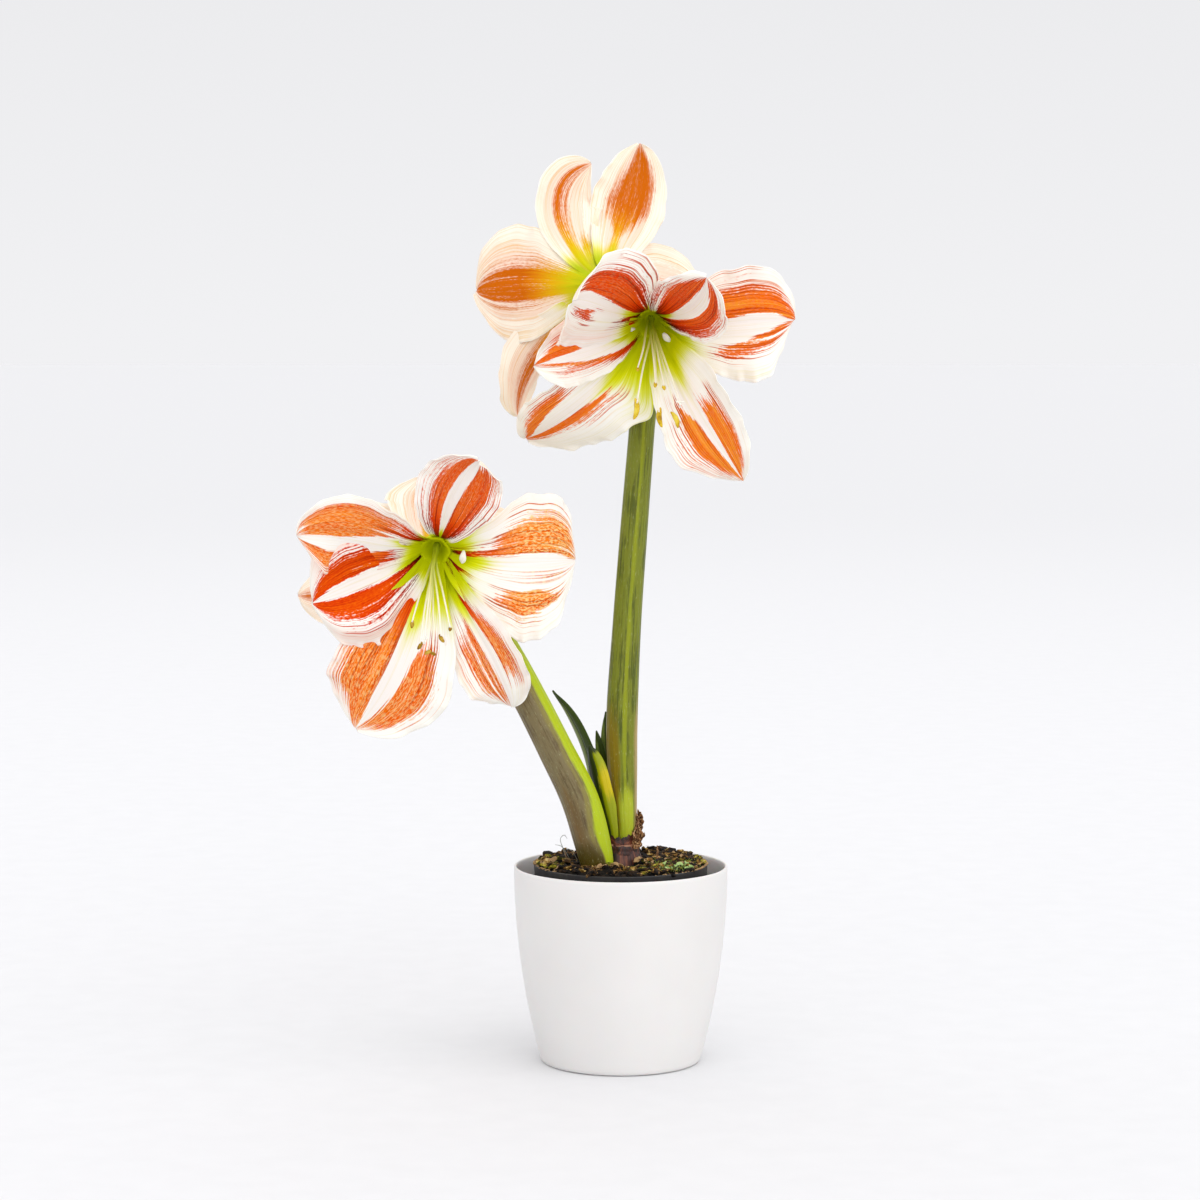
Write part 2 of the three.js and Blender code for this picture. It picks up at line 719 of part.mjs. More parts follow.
function perianth(bloom) {
  const cup = turned(
    [
      [0, -2],
      [5.4, -2],
      [7.6, -0.6],
      [10.2, 8],
      [8.4, 9],
      [6.7, 8],
      [3.4, -0.5],
      [0, -0.5],
    ],
    10,
  );
  const petals = bloom.petals.map((given, i) => {
    const petal = { ...PETAL_DEFAULTS, ...given };
    const rows = midrib(bloom, petal, CLAW_RADII[i % 2]);
    const grid = PETAL_ROWS.map((step) => rows[step]).map((row) =>
      Array.from({ length: PETAL_COLUMNS + 1 }, (_, column) =>
        petalPoint(row, (2 * column) / PETAL_COLUMNS - 1, petal, 1.3 * i),
      ),
    );
    return solidOf(blade(grid, PETAL_THICKNESS));
  });
  return joined([solidOf(stoodAlong(cup, bloomAxes(bloom).forward, bloom.base)), ...petals]);
}

// Six filaments and a longer style, fused at their foot, that arch down and lift at the end.
function stamens(bloom) {
  const foot = turned([[0, -0.2], [2.7, -0.2], [2.7, 1.2], [0, 3]], 7);
  const thread = (reach, drop, across, start) => {
    const station = (ahead, above, aside) => [
      ...inBloom(bloom, ahead, above, aside).toArray(),
      FILAMENT_RADIUS,
    ];
    const line = [
      station(0.6, start[1], start[0]),
      station(0.3 * reach, start[1] - 0.16 * drop, start[0] + 0.22 * across),
      station(0.66 * reach, -0.72 * drop, 0.62 * across),
      station(reach, -drop, across),
    ];
    return solidOf(rod(line, 3, 5));
  };
  const parts = [solidOf(stoodAlong(foot, bloomAxes(bloom).forward, bloom.base))];
  for (let i = 0; i < 6; i++) {
    const turn = (i * Math.PI) / 3;
    const across = bloom.drift + (FILAMENT_SPREAD * (i - 2.5)) / 2.5;
    const reach = FILAMENT_REACH * (i % 2 ? 0.92 : 1);
    const drop = FILAMENT_DROP * (i % 2 ? 0.94 : 1.04);
    parts.push(thread(reach, drop, across, [1.5 * Math.cos(turn), 1.5 * Math.sin(turn)]));
    const anther = new THREE.SphereGeometry(1, 5, 3);
    anther.scale(ANTHER_RADIUS, ANTHER_LENGTH / 2, ANTHER_RADIUS);
    anther.rotateX(Math.PI / 2 - 0.15);
    const end = inBloom(bloom, reach, -drop, across);
    anther.translate(end.x, end.y, end.z);
    parts.push(solidOf(anther));
  }
  parts.push(thread(STYLE_REACH, STYLE_DROP + 12, bloom.drift / 2, [0, 0]));
  return joined(parts);
}

// ---- the plant ----------------------------------------------------------------------------------

const amaryllis = new THREE.Group();

function place(name, shape, finish) {
  const geometry = shape.isBufferGeometry ? shape : geometryOf(shape);
  const mesh = new THREE.Mesh(geometry, new THREE.MeshStandardMaterial(FINISHES[finish]));
  mesh.name = name;
  amaryllis.add(mesh);
}

const leaningSocket = stemSocket(STEMS.leaning);
place("outer_pot", coverPot(), "white_pot");
place("inner_pot", nurseryPot(), "black_pot");
place("soil", compost(leaningSocket), "compost");
place("bulb", bulb(leaningSocket), "bulb_scale");
for (const [name, shape] of Object.entries(STEMS)) {
  place(`stem_${name}`, stem(shape), "stem_green");
  place(`bracts_${name}`, bracts(shape, BRACTS[name]), "dry_bract");
}
for (const [name, shape] of Object.entries(LEAVES)) {
  place(name, leaf(shape), "leaf_green");
}
for (const [name, shape] of Object.entries(BLOOMS)) {
  place(`petals_${name}`, perianth(shape), "petal");
  place(`stamens_${name}`, stamens(shape), "stamen");
}

export default amaryllis;
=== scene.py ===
import math

import bpy
import numpy as np
from mathutils import Matrix, Vector, noise


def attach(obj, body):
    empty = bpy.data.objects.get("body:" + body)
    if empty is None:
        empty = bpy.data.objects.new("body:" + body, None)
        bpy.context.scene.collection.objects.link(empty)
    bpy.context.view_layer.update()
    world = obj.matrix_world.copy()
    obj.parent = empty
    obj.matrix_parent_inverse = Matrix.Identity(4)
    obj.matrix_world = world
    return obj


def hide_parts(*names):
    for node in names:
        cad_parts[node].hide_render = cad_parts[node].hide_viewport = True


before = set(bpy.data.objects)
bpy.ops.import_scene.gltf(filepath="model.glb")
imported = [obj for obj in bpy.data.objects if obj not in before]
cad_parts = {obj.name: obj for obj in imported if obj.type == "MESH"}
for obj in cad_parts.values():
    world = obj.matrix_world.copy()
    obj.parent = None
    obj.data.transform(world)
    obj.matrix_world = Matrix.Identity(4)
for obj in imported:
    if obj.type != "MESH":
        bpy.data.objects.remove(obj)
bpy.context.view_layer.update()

# An amaryllis in flower: one bulb in a black nursery pot, stood in a white cover pot, with two
# flower stems of two blooms each and four short leaves. Numbers are millimetres and degrees unless
# a name says otherwise; meshes are stored in metres.
MM = 0.001
rng = np.random.default_rng(7)

# ---- camera, floor and light ---------------------------------------------------------------------

CAMERA_AT = (-0.0136, -2.139, 0.4806)
CAMERA_TILT = 4.74  # looking down
CAMERA_LENS = 98.85
SENSOR = 36
FAR = 200  # metres
FLOOR_HALF = 40.0  # metres
FLOOR_DROP = 0.0002  # metres, so that the pot's foot and the floor don't share a plane


def srgb(code):
    """The linear colour of an sRGB hex value."""
    values = [int(code[i:i + 2], 16) / 255 for i in (1, 3, 5)]
    return [v / 12.92 if v <= 0.04045 else ((v + 0.055) / 1.055) ** 2.4 for v in values] + [1]


def add(tree, kind, inputs=(), stops=(), give=None, **settings):
    """A new shader node, with its settings, its inputs by name or number, and a ramp's stops. It
    returns the node, or the output that give names."""
    made = tree.nodes.new("ShaderNode" + kind)
    for key, value in settings.items():
        setattr(made, key, value)
    for key, value in dict(inputs).items():
        if isinstance(value, bpy.types.NodeSocket):
            tree.links.new(value, made.inputs[key])
        else:
            made.inputs[key].default_value = value
    if stops:
        elements = made.color_ramp.elements
        while len(elements) < len(stops):
            elements.new(0.5)
        for element, (place, code) in zip(elements, stops):
            element.position = place
            element.color = srgb(code) if isinstance(code, str) else (code, code, code, 1)
    return made if give is None else made.outputs[give]


def material(name):
    """An empty node material, and its tree."""
    made = bpy.data.materials.new(name)
    made.use_nodes = True
    made.node_tree.nodes.clear()
    return made, made.node_tree


camera_data = bpy.data.cameras.new("camera")
camera_data.lens = CAMERA_LENS
camera_data.sensor_width = SENSOR
camera_data.clip_end = FAR
camera = bpy.data.objects.new("camera", camera_data)
camera.location = CAMERA_AT
camera.rotation_euler = (math.radians(90 - CAMERA_TILT), 0, 0)
bpy.context.collection.objects.link(camera)
bpy.context.scene.camera = camera

scene = bpy.context.scene
scene.view_settings.view_transform = "Standard"
world = bpy.data.worlds.new("studio")
world.use_nodes = True
sky = world.node_tree
height = add(sky, "SeparateXYZ", {0: add(sky, "TexCoord", give="Generated")}, give="Z")
wall = add(sky, "ValToRGB", {0: height}, [(0.0, "#f1f1f3"), (0.1, "#ececee")], give=0)
# overhead the studio is one large soft box
dome = add(sky, "MapRange", {0: height, 1: 0.14, 2: 0.5, 3: 1.0, 4: 1.3}, give=0)
for socket, value in (("Color", wall), ("Strength", dome)):
    sky.links.new(value, sky.nodes["Background"].inputs[socket])
scene.world = world


def soft_sun(name, energy, place, target, spread):
    """A sun as wide in the sky as its spread in degrees, so that its shadows are soft."""
    data = bpy.data.lights.new(name, "SUN")
    data.energy = energy
    data.angle = math.radians(spread)
    made = bpy.data.objects.new(name, data)
    made.location = place
    made.rotation_euler = (Vector(target) - Vector(place)).to_track_quat("-Z", "Y").to_euler()
    bpy.context.collection.objects.link(made)


# A broad key from the right and above, a broad fill from the front, and a weak back light.
soft_sun("key", 1.05, (2.1, -1.9, 1.9), (0, 0, 0.2), 80)
soft_sun("fill", 1.0, (-0.6, -2.6, 0.5), (0, 0, 0.3), 90)
soft_sun("back_light", 0.25, (-0.8, 1.6, 2.6), (0, 0, 0.3), 70)

# ---- shaping helpers -----------------------------------------------------------------------------

SAME_PLACE = 1e-6  # metres
LINE_STEPS = 24  # between two stations of a smooth line
UP = (0, 0, 1)


def clear_selection():
    if bpy.context.object and bpy.context.object.mode != "OBJECT":
        bpy.ops.object.mode_set(mode="OBJECT")
    bpy.ops.object.select_all(action="DESELECT")


def choose(*pieces):
    clear_selection()
    for piece in pieces:
        piece.select_set(True)
    bpy.context.view_layer.objects.active = pieces[0]


def adopt(name):
    """Names the primitive just added and puts its place into its mesh."""
    piece = bpy.context.object
    piece.name = piece.data.name = name
    bpy.ops.object.transform_apply(location=True, rotation=True, scale=True)
    return piece


def edit(piece, *steps):
    """Runs edit-mode steps on the whole mesh of a piece."""
    choose(piece)
    bpy.ops.object.mode_set(mode="EDIT")
    bpy.ops.mesh.select_all(action="SELECT")
    for step in steps:
        step()
    bpy.ops.object.mode_set(mode="OBJECT")
    return piece


def merge():
    bpy.ops.mesh.remove_doubles(threshold=SAME_PLACE)


def close_ends():
    """Fills the open loops of a mesh."""
    bpy.ops.mesh.select_all(action="DESELECT")
    bpy.ops.mesh.select_non_manifold(extend=False)
    bpy.ops.mesh.edge_face_add()
    bpy.ops.mesh.select_all(action="SELECT")


def outward():
    bpy.ops.mesh.normals_make_consistent(inside=False)


def smooth(piece, angle=None):
    """Shades a piece smoothly, with sharp edges above an angle if one is given."""
    choose(piece)
    if angle is None:
        bpy.ops.object.shade_smooth()
    else:
        bpy.ops.object.shade_smooth_by_angle(angle=math.radians(angle))
    return piece


def modify(piece, kind, **settings):
    """Adds a modifier and applies it."""
    choose(piece)
    modifier = piece.modifiers.new(kind.lower(), kind)
    for key, value in settings.items():
        setattr(modifier, key, value)
    bpy.ops.object.modifier_apply(modifier=modifier.name)
    return piece


def subdivide_smoothly(piece):
    return modify(piece, "SUBSURF", levels=1, render_levels=1)


def thickened(piece, thickness, **settings):
    """Gives a sheet its thickness in mm, half of it to each side."""
    return modify(piece, "SOLIDIFY", thickness=thickness * MM, offset=0, **settings)


def points_of(piece):
    """A piece's vertices in mm."""
    points = np.empty(len(piece.data.vertices) * 3)
    piece.data.vertices.foreach_get("co", points)
    return points.reshape(-1, 3) / MM


def set_points(piece, points):
    piece.data.vertices.foreach_set("co", (np.asarray(points) * MM).ravel())
    piece.data.update()


def mark(piece, name, values):
    """Stores one number per vertex, or the same one on all, under a name that a material reads."""
    store = piece.data.attributes.get(name) or piece.data.attributes.new(name, "FLOAT", "POINT")
    every = np.empty(len(piece.data.vertices), dtype=np.float32)
    every[:] = values
    store.data.foreach_set("value", every)


def marked(piece, name):
    """The numbers stored under a name."""
    values = np.empty(len(piece.data.vertices), dtype=np.float32)
    piece.data.attributes[name].data.foreach_get("value", values)
    return values


def formed(name, along, across, shape, round_it=False):
    """A grid bent to a shape: shape(s, t) gives points for s from 0 to 1 along the piece and t from
    -1 to 1 across it. A round one is closed where t = -1 meets t = 1."""
    clear_selection()
    bpy.ops.mesh.primitive_grid_add(x_subdivisions=across, y_subdivisions=along, size=2)
    piece = adopt(name)
    flat = points_of(piece) * MM
    s, t = (flat[:, 1] + 1) / 2, flat[:, 0]
    mark(piece, "along", s)
    mark(piece, "across", t)
    set_points(piece, shape(s, t))
    if round_it:
        edit(piece, merge, close_ends, outward)
    return piece


def dress(piece, *finishes, slot, stands_for):
    """Gives a piece its finishes and the node that it stands for. Its record slot is not used."""
    for finish in finishes:
        piece.data.materials.append(finish)
    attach(piece, "root")
    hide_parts(stands_for)
    return piece


def joined(name, pieces):
    choose(*pieces)
    bpy.ops.object.join()
    piece = bpy.context.object
    piece.name = piece.data.name = name
    return piece


def scattered(name, models, placings):
    """Copies of small models at each (model number, matrix), joined as one piece."""
    copies = []
    for which, matrix in placings:
        copy = models[which].copy()
        copy.data = models[which].data.copy()
        copy.data.transform(matrix)
        bpy.context.collection.objects.link(copy)
        copies.append(copy)
    return joined(name, copies)


def discard(*pieces):
    for piece in pieces:
        bpy.data.objects.remove(piece, do_unlink=True)


def share(values, start, end):
    """How far values are on the way from a start to an end, from 0 to 1."""
    return np.clip((values - start) / (end - start), 0, 1)


def smoothstep(values, start, end):
    """The same, eased at both ends."""
    x = share(values, start, end)
    return x * x * (3 - 2 * x)


def rough_noise(points, size, seed):
    """Smooth noise from -1 to 1 at each point, with lumps of a size in mm."""
    shift = Vector((seed * 3.1, seed * 1.7, seed * 5.3))
    return np.array([noise.noise(Vector(p) / size + shift) for p in points])


def crumpled(points, size, seed, step=1):
    """A push in x, y and z at each point, each by its own noise."""
    return np.stack([rough_noise(points, size, seed + step * k) for k in range(3)], axis=-1)


def on_profile(profile, s):
    """The two numbers of a profile at shares s of the way through its rows."""
    place = s * (len(profile) - 1)
    return [np.interp(place, range(len(profile)), profile[:, k]) for k in (0, 1)]


def smooth_line(stations):
    """A dense smooth line through [x, y, z, ...] stations, with its directions and the share of
    its length at each."""
    p = np.asarray(stations, dtype=float)
    p = np.vstack([2 * p[0] - p[1], p, 2 * p[-1] - p[-2]])
    gaps = np.maximum(np.linalg.norm(np.diff(p[:, :3], axis=0), axis=1) ** 0.5, 1e-4)
    rows = []
    for i in range(1, len(p) - 2):
        x0, x1, x2, x3 = p[i - 1:i + 3]
        d0, d1, d2 = gaps[i - 1:i + 2]
        a = ((x1 - x0) / d0 - (x2 - x0) / (d0 + d1) + (x2 - x1) / d1) * d1
        b = ((x2 - x1) / d1 - (x3 - x1) / (d1 + d2) + (x3 - x2) / d2) * d1
        u = np.linspace(0, 1, LINE_STEPS + 1)[:, None]
        line = x1 + a * u + (3 * (x2 - x1) - 2 * a - b) * u**2 + (2 * (x1 - x2) + a + b) * u**3
        rows.append(line if i == len(p) - 3 else line[:-1])
    line = np.vstack(rows)
    lengths = np.concatenate([[0], np.cumsum(np.linalg.norm(np.diff(line[:, :3], axis=0), axis=1))])
    tangents = np.gradient(line[:, :3], axis=0)
    tangents /= np.linalg.norm(tangents, axis=1)[:, None]
    return line, tangents, lengths / lengths[-1]


def at_shares(line, lengths, s):
    """A line's rows at shares s of its length."""
    return np.stack([np.interp(s, lengths, line[:, k]) for k in range(line.shape[1])], axis=-1)


def frames_along(stations, s, facing):
    """Centres, radii, and the two directions across a line at each share s of its length. The first
    direction keeps to the side that faces the given way."""
    line, tangents, lengths = smooth_line(stations)
    here = at_shares(line, lengths, s)
    along = at_shares(tangents, lengths, s)
    along /= np.linalg.norm(along, axis=1)[:, None]
    first = np.asarray(facing, dtype=float) - along * (along @ np.asarray(facing))[:, None]
    first /= np.linalg.norm(first, axis=1)[:, None]
    return here[:, :3], here[:, 3], first, np.cross(along, first)


def tube(name, stations, facing, around, steps, swell=None):
    """A closed tube along [x, y, z, radius] stations. swell(s, turn) scales its radius."""

    def shape(s, t):
        centre, r, first, second = frames_along(stations, s, facing)
        turn = t * math.pi
        if swell:
            r = r * swell(s, turn)
        return centre + first * (r * np.cos(turn))[:, None] + second * (r * np.sin(turn))[:, None]

    return formed(name, steps, around, shape, round_it=True)


def turned(name, profile, sides):
    """A turned piece: a disc drawn up ring by ring through its (radius, height) profile, which
    starts and ends in a small disc on the axis."""
    clear_selection()
    radius, height = profile[0]
    bpy.ops.mesh.primitive_circle_add(
        vertices=sides, radius=radius * MM, fill_type="NGON", location=(0, 0, height * MM)
    )

    def draw_up():
        for (r0, z0), (r1, z1) in zip(profile, profile[1:]):
            rise = (0, 0, (z1 - z0) * MM)
            bpy.ops.mesh.extrude_region_move(TRANSFORM_OT_translate={"value": rise})
            bpy.ops.transform.resize(value=(r1 / r0, r1 / r0, 1), center_override=(0, 0, z1 * MM))
        bpy.ops.mesh.select_all(action="SELECT")

    return edit(adopt(name), draw_up, outward)


# ---- finishes ------------------------------------------------------------------------------------


def grown(tree, rows, roughness):
    """Noise patterns on a piece's own UV map. Each row gives a pattern's name, how many of its
    cells fit across the piece and along it, and its detail."""
    own = add(tree, "UVMap", give=0, uv_map="UVMap")
    pattern = {}
    for key, across, along, detail in rows:
        stretched = add(tree, "Mapping", {"Vector": own, "Scale": (across, along, 1)}, give=0)
        cells = {"Vector": stretched, "Scale": 1, "Detail": detail, "Roughness": roughness}
        pattern[key] = add(tree, "TexNoise", cells, give="Fac")
    return pattern


def frayed(tree, field, pattern, **weights):
    """A painted field with patterns added by their weights, so that its edge frays along them."""
    for key, weight in weights.items():
        field = add(tree, "Math", {0: pattern[key], 1: weight, 2: field}, give=0,
                    operation="MULTIPLY_ADD")
    return field


def tinted(tree, tint, tints, pattern, **weights):
    """A colour with the colour of each mark laid over it, where the frayed mark is strong."""
    for key, code in tints.items():
        field = add(tree, "Attribute", give="Fac", attribute_name=key)
        field = frayed(tree, field, pattern, **weights)
        field = add(tree, "MapRange", {0: field, 1: 0.9, 2: 1.5}, give=0,
                    interpolation_type="SMOOTHSTEP")
        tint = add(tree, "Mix", {0: field, 6: tint, 7: srgb(code)}, give=2, data_type="RGBA")
    return tint


def surfaced(tree, inputs, glow=0.0, through=()):
    """Ends a material in its shader. A thin piece also lets a share of the light through."""
    shader = add(tree, "BsdfPrincipled", inputs, give=0)
    if glow:
        passing = {"Color": inputs["Base Color"], **dict(through)}
        passing = add(tree, "BsdfTranslucent", passing, give=0)
        shader = add(tree, "MixShader", {0: glow, 1: shader, 2: passing}, give=0)
    add(tree, "OutputMaterial", {"Surface": shader})


def white_polypropylene():
    """Injection-moulded polypropylene, satin: an even off-white with a very fine orange peel. Its
    clouds are 70 mm across, and its peel is drawn 1.4 mm wide, as a finer one wouldn't show."""
    made, tree = material("white_satin_polypropylene")
    where = add(tree, "TexCoord", give="Object")
    clouds = add(tree, "TexNoise", {"Vector": where, "Scale": 14, "Detail": 3}, give="Fac")
    tint = add(tree, "ValToRGB", {0: clouds}, [(0.3, "#d6d4d2"), (0.7, "#dbd9d7")], give=0)
    peel = add(tree, "TexNoise", {"Vector": where, "Scale": 700, "Detail": 2}, give="Fac")
    bump = add(tree, "Bump", {"Height": peel, "Strength": 0.08, "Distance": 0.0002}, give=0)
    gloss = add(tree, "MapRange", {0: clouds, 1: 0.3, 2: 0.7, 3: 0.38, 4: 0.46}, give=0)
    surfaced(tree, {
        "Base Color": tint, "Roughness": gloss, "Normal": bump, "Specular IOR Level": 0.42,
        "Subsurface Weight": 0.08, "Subsurface Scale": 0.003,
    })
    return made


def black_polypropylene():
    """Thin thermoformed nursery pot: grey-black, with dried compost on it in patches of 11 mm."""
    made, tree = material("black_thermoformed_polypropylene")
    dust = {"Vector": add(tree, "TexCoord", give="Object"), "Scale": 90, "Detail": 6}
    dust = add(tree, "TexNoise", {**dust, "Roughness": 0.7}, give="Fac")
    greys = [(0.45, "#1d1c1e"), (0.6, "#2b2927"), (0.75, "#4c4238")]
    tint = add(tree, "ValToRGB", {0: dust}, greys, give=0)
    bump = add(tree, "Bump", {"Height": dust, "Strength": 0.2, "Distance": 0.0004}, give=0)
    surfaced(tree, {"Base Color": tint, "Roughness": 0.48, "Normal": bump})
    return made


def peat(name, stops, grain):
    """Damp peat and bark, dark brown. Its colour follows its bump's crumbs: nearly black in their
    hollows, painted shade, and lighter on their tops, painted highlight. The grain counts the
    crumbs on a metre, so that 420 of them are 2.4 mm across; patches are 5 mm."""
    made, tree = material(name)
    where = add(tree, "TexCoord", give="Object")
    crumbs = {"Vector": where, "Scale": grain, "Detail": 8, "Roughness": 0.75}
    crumbs = add(tree, "TexNoise", crumbs, give="Fac")
    patches = add(tree, "TexNoise", {"Vector": where, "Scale": 190, "Detail": 2}, give="Fac")
    # the crumbs set both the colour and the bump: painted shade in the hollows, painted highlight
    # on the tops
    tone = add(tree, "Math", {0: crumbs, 1: patches}, give=0, operation="ADD")
    tone = add(tree, "Math", {0: tone, 1: 0.5}, give=0, operation="MULTIPLY")
    tint = add(tree, "ValToRGB", {0: tone}, stops, give=0)
    bump = add(tree, "Bump", {"Height": crumbs, "Strength": 0.7, "Distance": 0.0012}, give=0)
    surfaced(tree, {
        "Base Color": tint, "Roughness": 0.85, "Normal": bump, "Specular IOR Level": 0.2,
    })
    return made


def fibrous(name, stops, across, along, roughness=0.7, glow=0.0):
    """A skin of long fibres that run along the piece's own length, such as a dry bulb scale, a
    withered bract or a coir thread: streaked, matt, with a little light coming through."""
    made, tree = material(name)
    fibre = grown(tree, [("fibre", across, along, 5)], 0.65)["fibre"]
    tint = add(tree, "ValToRGB", {0: fibre}, stops, give=0)
    bump = add(tree, "Bump", {"Height": fibre, "Strength": 0.5, "Distance": 0.0005}, give=0)
    inputs = {"Base Color": tint, "Roughness": roughness, "Normal": bump}
    surfaced(tree, inputs, glow, {"Normal": bump})
    return made


def petal_skin(name, back):
    """Fresh petal: a soft satin skin over long veins, with some light coming through. It reads the
    painted bands, the redness of their colour, the lime base, the blush and the back's rib."""
    made, tree = material(name)
    # Veins run from base to tip, about 1.5 mm apart where the petal is widest, and break into
    # dashes of a few millimetres. Broad streaks gather several veins; crepe is finer than them.
    pattern = grown(tree, [
        ("streak", 10, 1.2, 3), ("vein", 74, 1.3, 2), ("dash", 92, 36, 2), ("crepe", 150, 40, 3),
    ], 0.55)
    marks = {key: add(tree, "Attribute", give="Fac", attribute_name=key) for key in PETAL_MARKS}
    line = add(tree, "MapRange", {0: pattern["vein"], 1: 0.53, 2: 0.62}, give=0,
               interpolation_type="SMOOTHSTEP")
    # The ground: cream, with a lime base whose colour runs out along the veins.
    if back:
        ground = [(0.36, "#fefaec"), (0.47, "#f8f3b8"), (0.6, "#e6e450"), (0.88, "#bccc14")]
    else:
        ground = [(0.38, "#fefdf8"), (0.56, "#f8f8d4"), (0.7, "#e8ee60"), (0.84, "#dfe60a"),
                  (1.0, "#ccd602")]
    uneven = frayed(tree, marks["lime"], pattern, vein=0.5, streak=0.3)
    tint = add(tree, "ValToRGB", {0: uneven}, ground, give=0)
    shade = add(tree, "MapRange", {0: pattern["vein"], 1: 0.45, 2: 0.7, 3: 0.0, 4: 0.6}, give=0)
    tint = add(tree, "Mix", {0: shade, 6: tint, 7: srgb("#f6f1e2")}, give=2,
               data_type="RGBA", blend_type="MULTIPLY")
    pinker = marks["blush"]
    for key, start, end in (("streak", 0.4, 0.7), ("vein", 0.3, 0.7)):
        part = add(tree, "MapRange", {0: pattern[key], 1: start, 2: end, 3: 0.3}, give=0)
        pinker = add(tree, "Math", {0: pinker, 1: part}, give=0, operation="MULTIPLY")
    tint = add(tree, "Mix", {0: pinker, 6: tint, 7: srgb("#f6c4b0")}, give=2, data_type="RGBA")
    # A band is filled with colour where it is deep enough. Its darker veins reach further out.
    ragged = frayed(tree, marks["band"], pattern, streak=2.2, vein=2.8, dash=1.4)
    fill = add(tree, "MapRange", {0: ragged, 1: 3.05, 2: 3.5}, give=0,
               interpolation_type="SMOOTHSTEP")
    nearby = frayed(tree, marks["band"], pattern, streak=1.0)
    nearby = add(tree, "MapRange", {0: nearby, 1: -0.4, 2: 0.2}, give=0,
                 interpolation_type="SMOOTHSTEP")
    drawn = add(tree, "Math", {0: line, 1: nearby}, give=0, operation="MULTIPLY")
    cover = add(tree, "Math", {0: fill, 1: drawn}, give=0, operation="MAXIMUM")
    if back:
        # The back shows the face's bands faintly, a peach tip, and its own rib, lime to orange.
        faint = add(tree, "Math", {0: cover, 1: 0.2}, give=0, operation="MULTIPLY")
        tint = add(tree, "Mix", {0: faint, 6: tint, 7: srgb("#f09a5c")}, give=2, data_type="RGBA")
        peach = {0: marks["along"], 1: 0.3, 2: 0.95, 3: 0.03, 4: 0.42}
        peach = add(tree, "MapRange", peach, give=0)
        threads = add(tree, "MapRange", {0: pattern["vein"], 1: 0.42, 2: 0.64, 3: 0.12}, give=0)
        peach = add(tree, "Math", {0: peach, 1: threads}, give=0, operation="MULTIPLY")
        tint = add(tree, "Mix", {0: peach, 6: tint, 7: srgb("#f4b494")}, give=2, data_type="RGBA")
        cover = frayed(tree, marks["rib"], pattern, vein=2.8, streak=2.0, dash=1.6)
        cover = add(tree, "MapRange", {0: cover, 1: 2.8, 2: 4.1}, give=0,
                    interpolation_type="SMOOTHSTEP")
        ripe = frayed(tree, marks["ripe"], pattern, vein=0.5)
        colour = add(
            tree, "ValToRGB", {0: ripe}, give=0,
            stops=[(0.2, "#bccc10"), (0.45, "#d8d010"), (0.65, "#e6b410"), (0.85, "#e08a0c"),
                   (1.0, "#d26a06")],
        )
    else:
        # The face's bands run from nearly black-red in the throat to red, vermilion and orange.
        warm = frayed(tree, marks["redness"], pattern, streak=0.8, vein=0.75, dash=0.5, crepe=0.3)
        warm = add(tree, "Math", {0: warm, 1: 1.02}, give=0, operation="SUBTRACT")
        colour = add(
            tree, "ValToRGB", {0: warm}, give=0,
            stops=[(0.08, "#f8a030"), (0.26, "#f27006"), (0.46, "#ea5402"), (0.66, "#dc3602"),
                   (0.84, "#9c1a02"), (0.98, "#400a02")],
        )
        # Where a petal is speckled, pale flecks between the cells lighten the colour.
        fleck = add(tree, "MapRange", {0: pattern["dash"], 1: 0.46, 2: 0.58, 4: 1.7}, give=0)
        fleck = add(tree, "Math", {0: fleck, 1: marks["speckle"]}, give=0, operation="MULTIPLY")
        pale = srgb("#fcd48c")
        colour = add(tree, "Mix", {0: fleck, 6: colour, 7: pale}, give=2, data_type="RGBA")
        inked = {0: marks["along"], 1: 0.25, 2: 0.75, 3: 0.75, 4: 0.3}
        inked = add(tree, "MapRange", inked, give=0)
        inked = add(tree, "Math", {0: inked, 1: drawn}, give=0, operation="MULTIPLY")
        dark = srgb("#8c1e02")
        colour = add(tree, "Mix", {0: inked, 6: colour, 7: dark}, give=2, data_type="RGBA")
    tint = add(tree, "Mix", {0: cover, 6: tint, 7: colour}, give=2, data_type="RGBA")
    relief = frayed(tree, pattern["vein"], pattern, crepe=0.4)
    bump = add(tree, "Bump", {"Height": relief, "Strength": 0.35, "Distance": 0.0006}, give=0)
    gloss = add(tree, "MapRange", {0: pattern["vein"], 1: 0.3, 2: 0.7, 3: 0.42, 4: 0.56}, give=0)
    inputs = {"Base Color": tint, "Roughness": gloss, "Normal": bump, "Specular IOR Level": 0.04}
    surfaced(tree, inputs, 0.2, {"Normal": bump})
    return made


def filament_skin():
    """Filaments and styles: smooth, wet-looking, lime at the foot and white towards the end."""
    made, tree = material("filament_skin")
    along = add(tree, "Attribute", give="Fac", attribute_name="along")
    greens = [(0.2, "#c4d022"), (0.45, "#e6ea8c"), (0.66, "#f8f7dc"), (1.0, "#fdfcf4")]
    tint = add(tree, "ValToRGB", {0: along}, greens, give=0)
    surfaced(tree, {"Base Color": tint, "Roughness": 0.4}, 0.3)
    return made


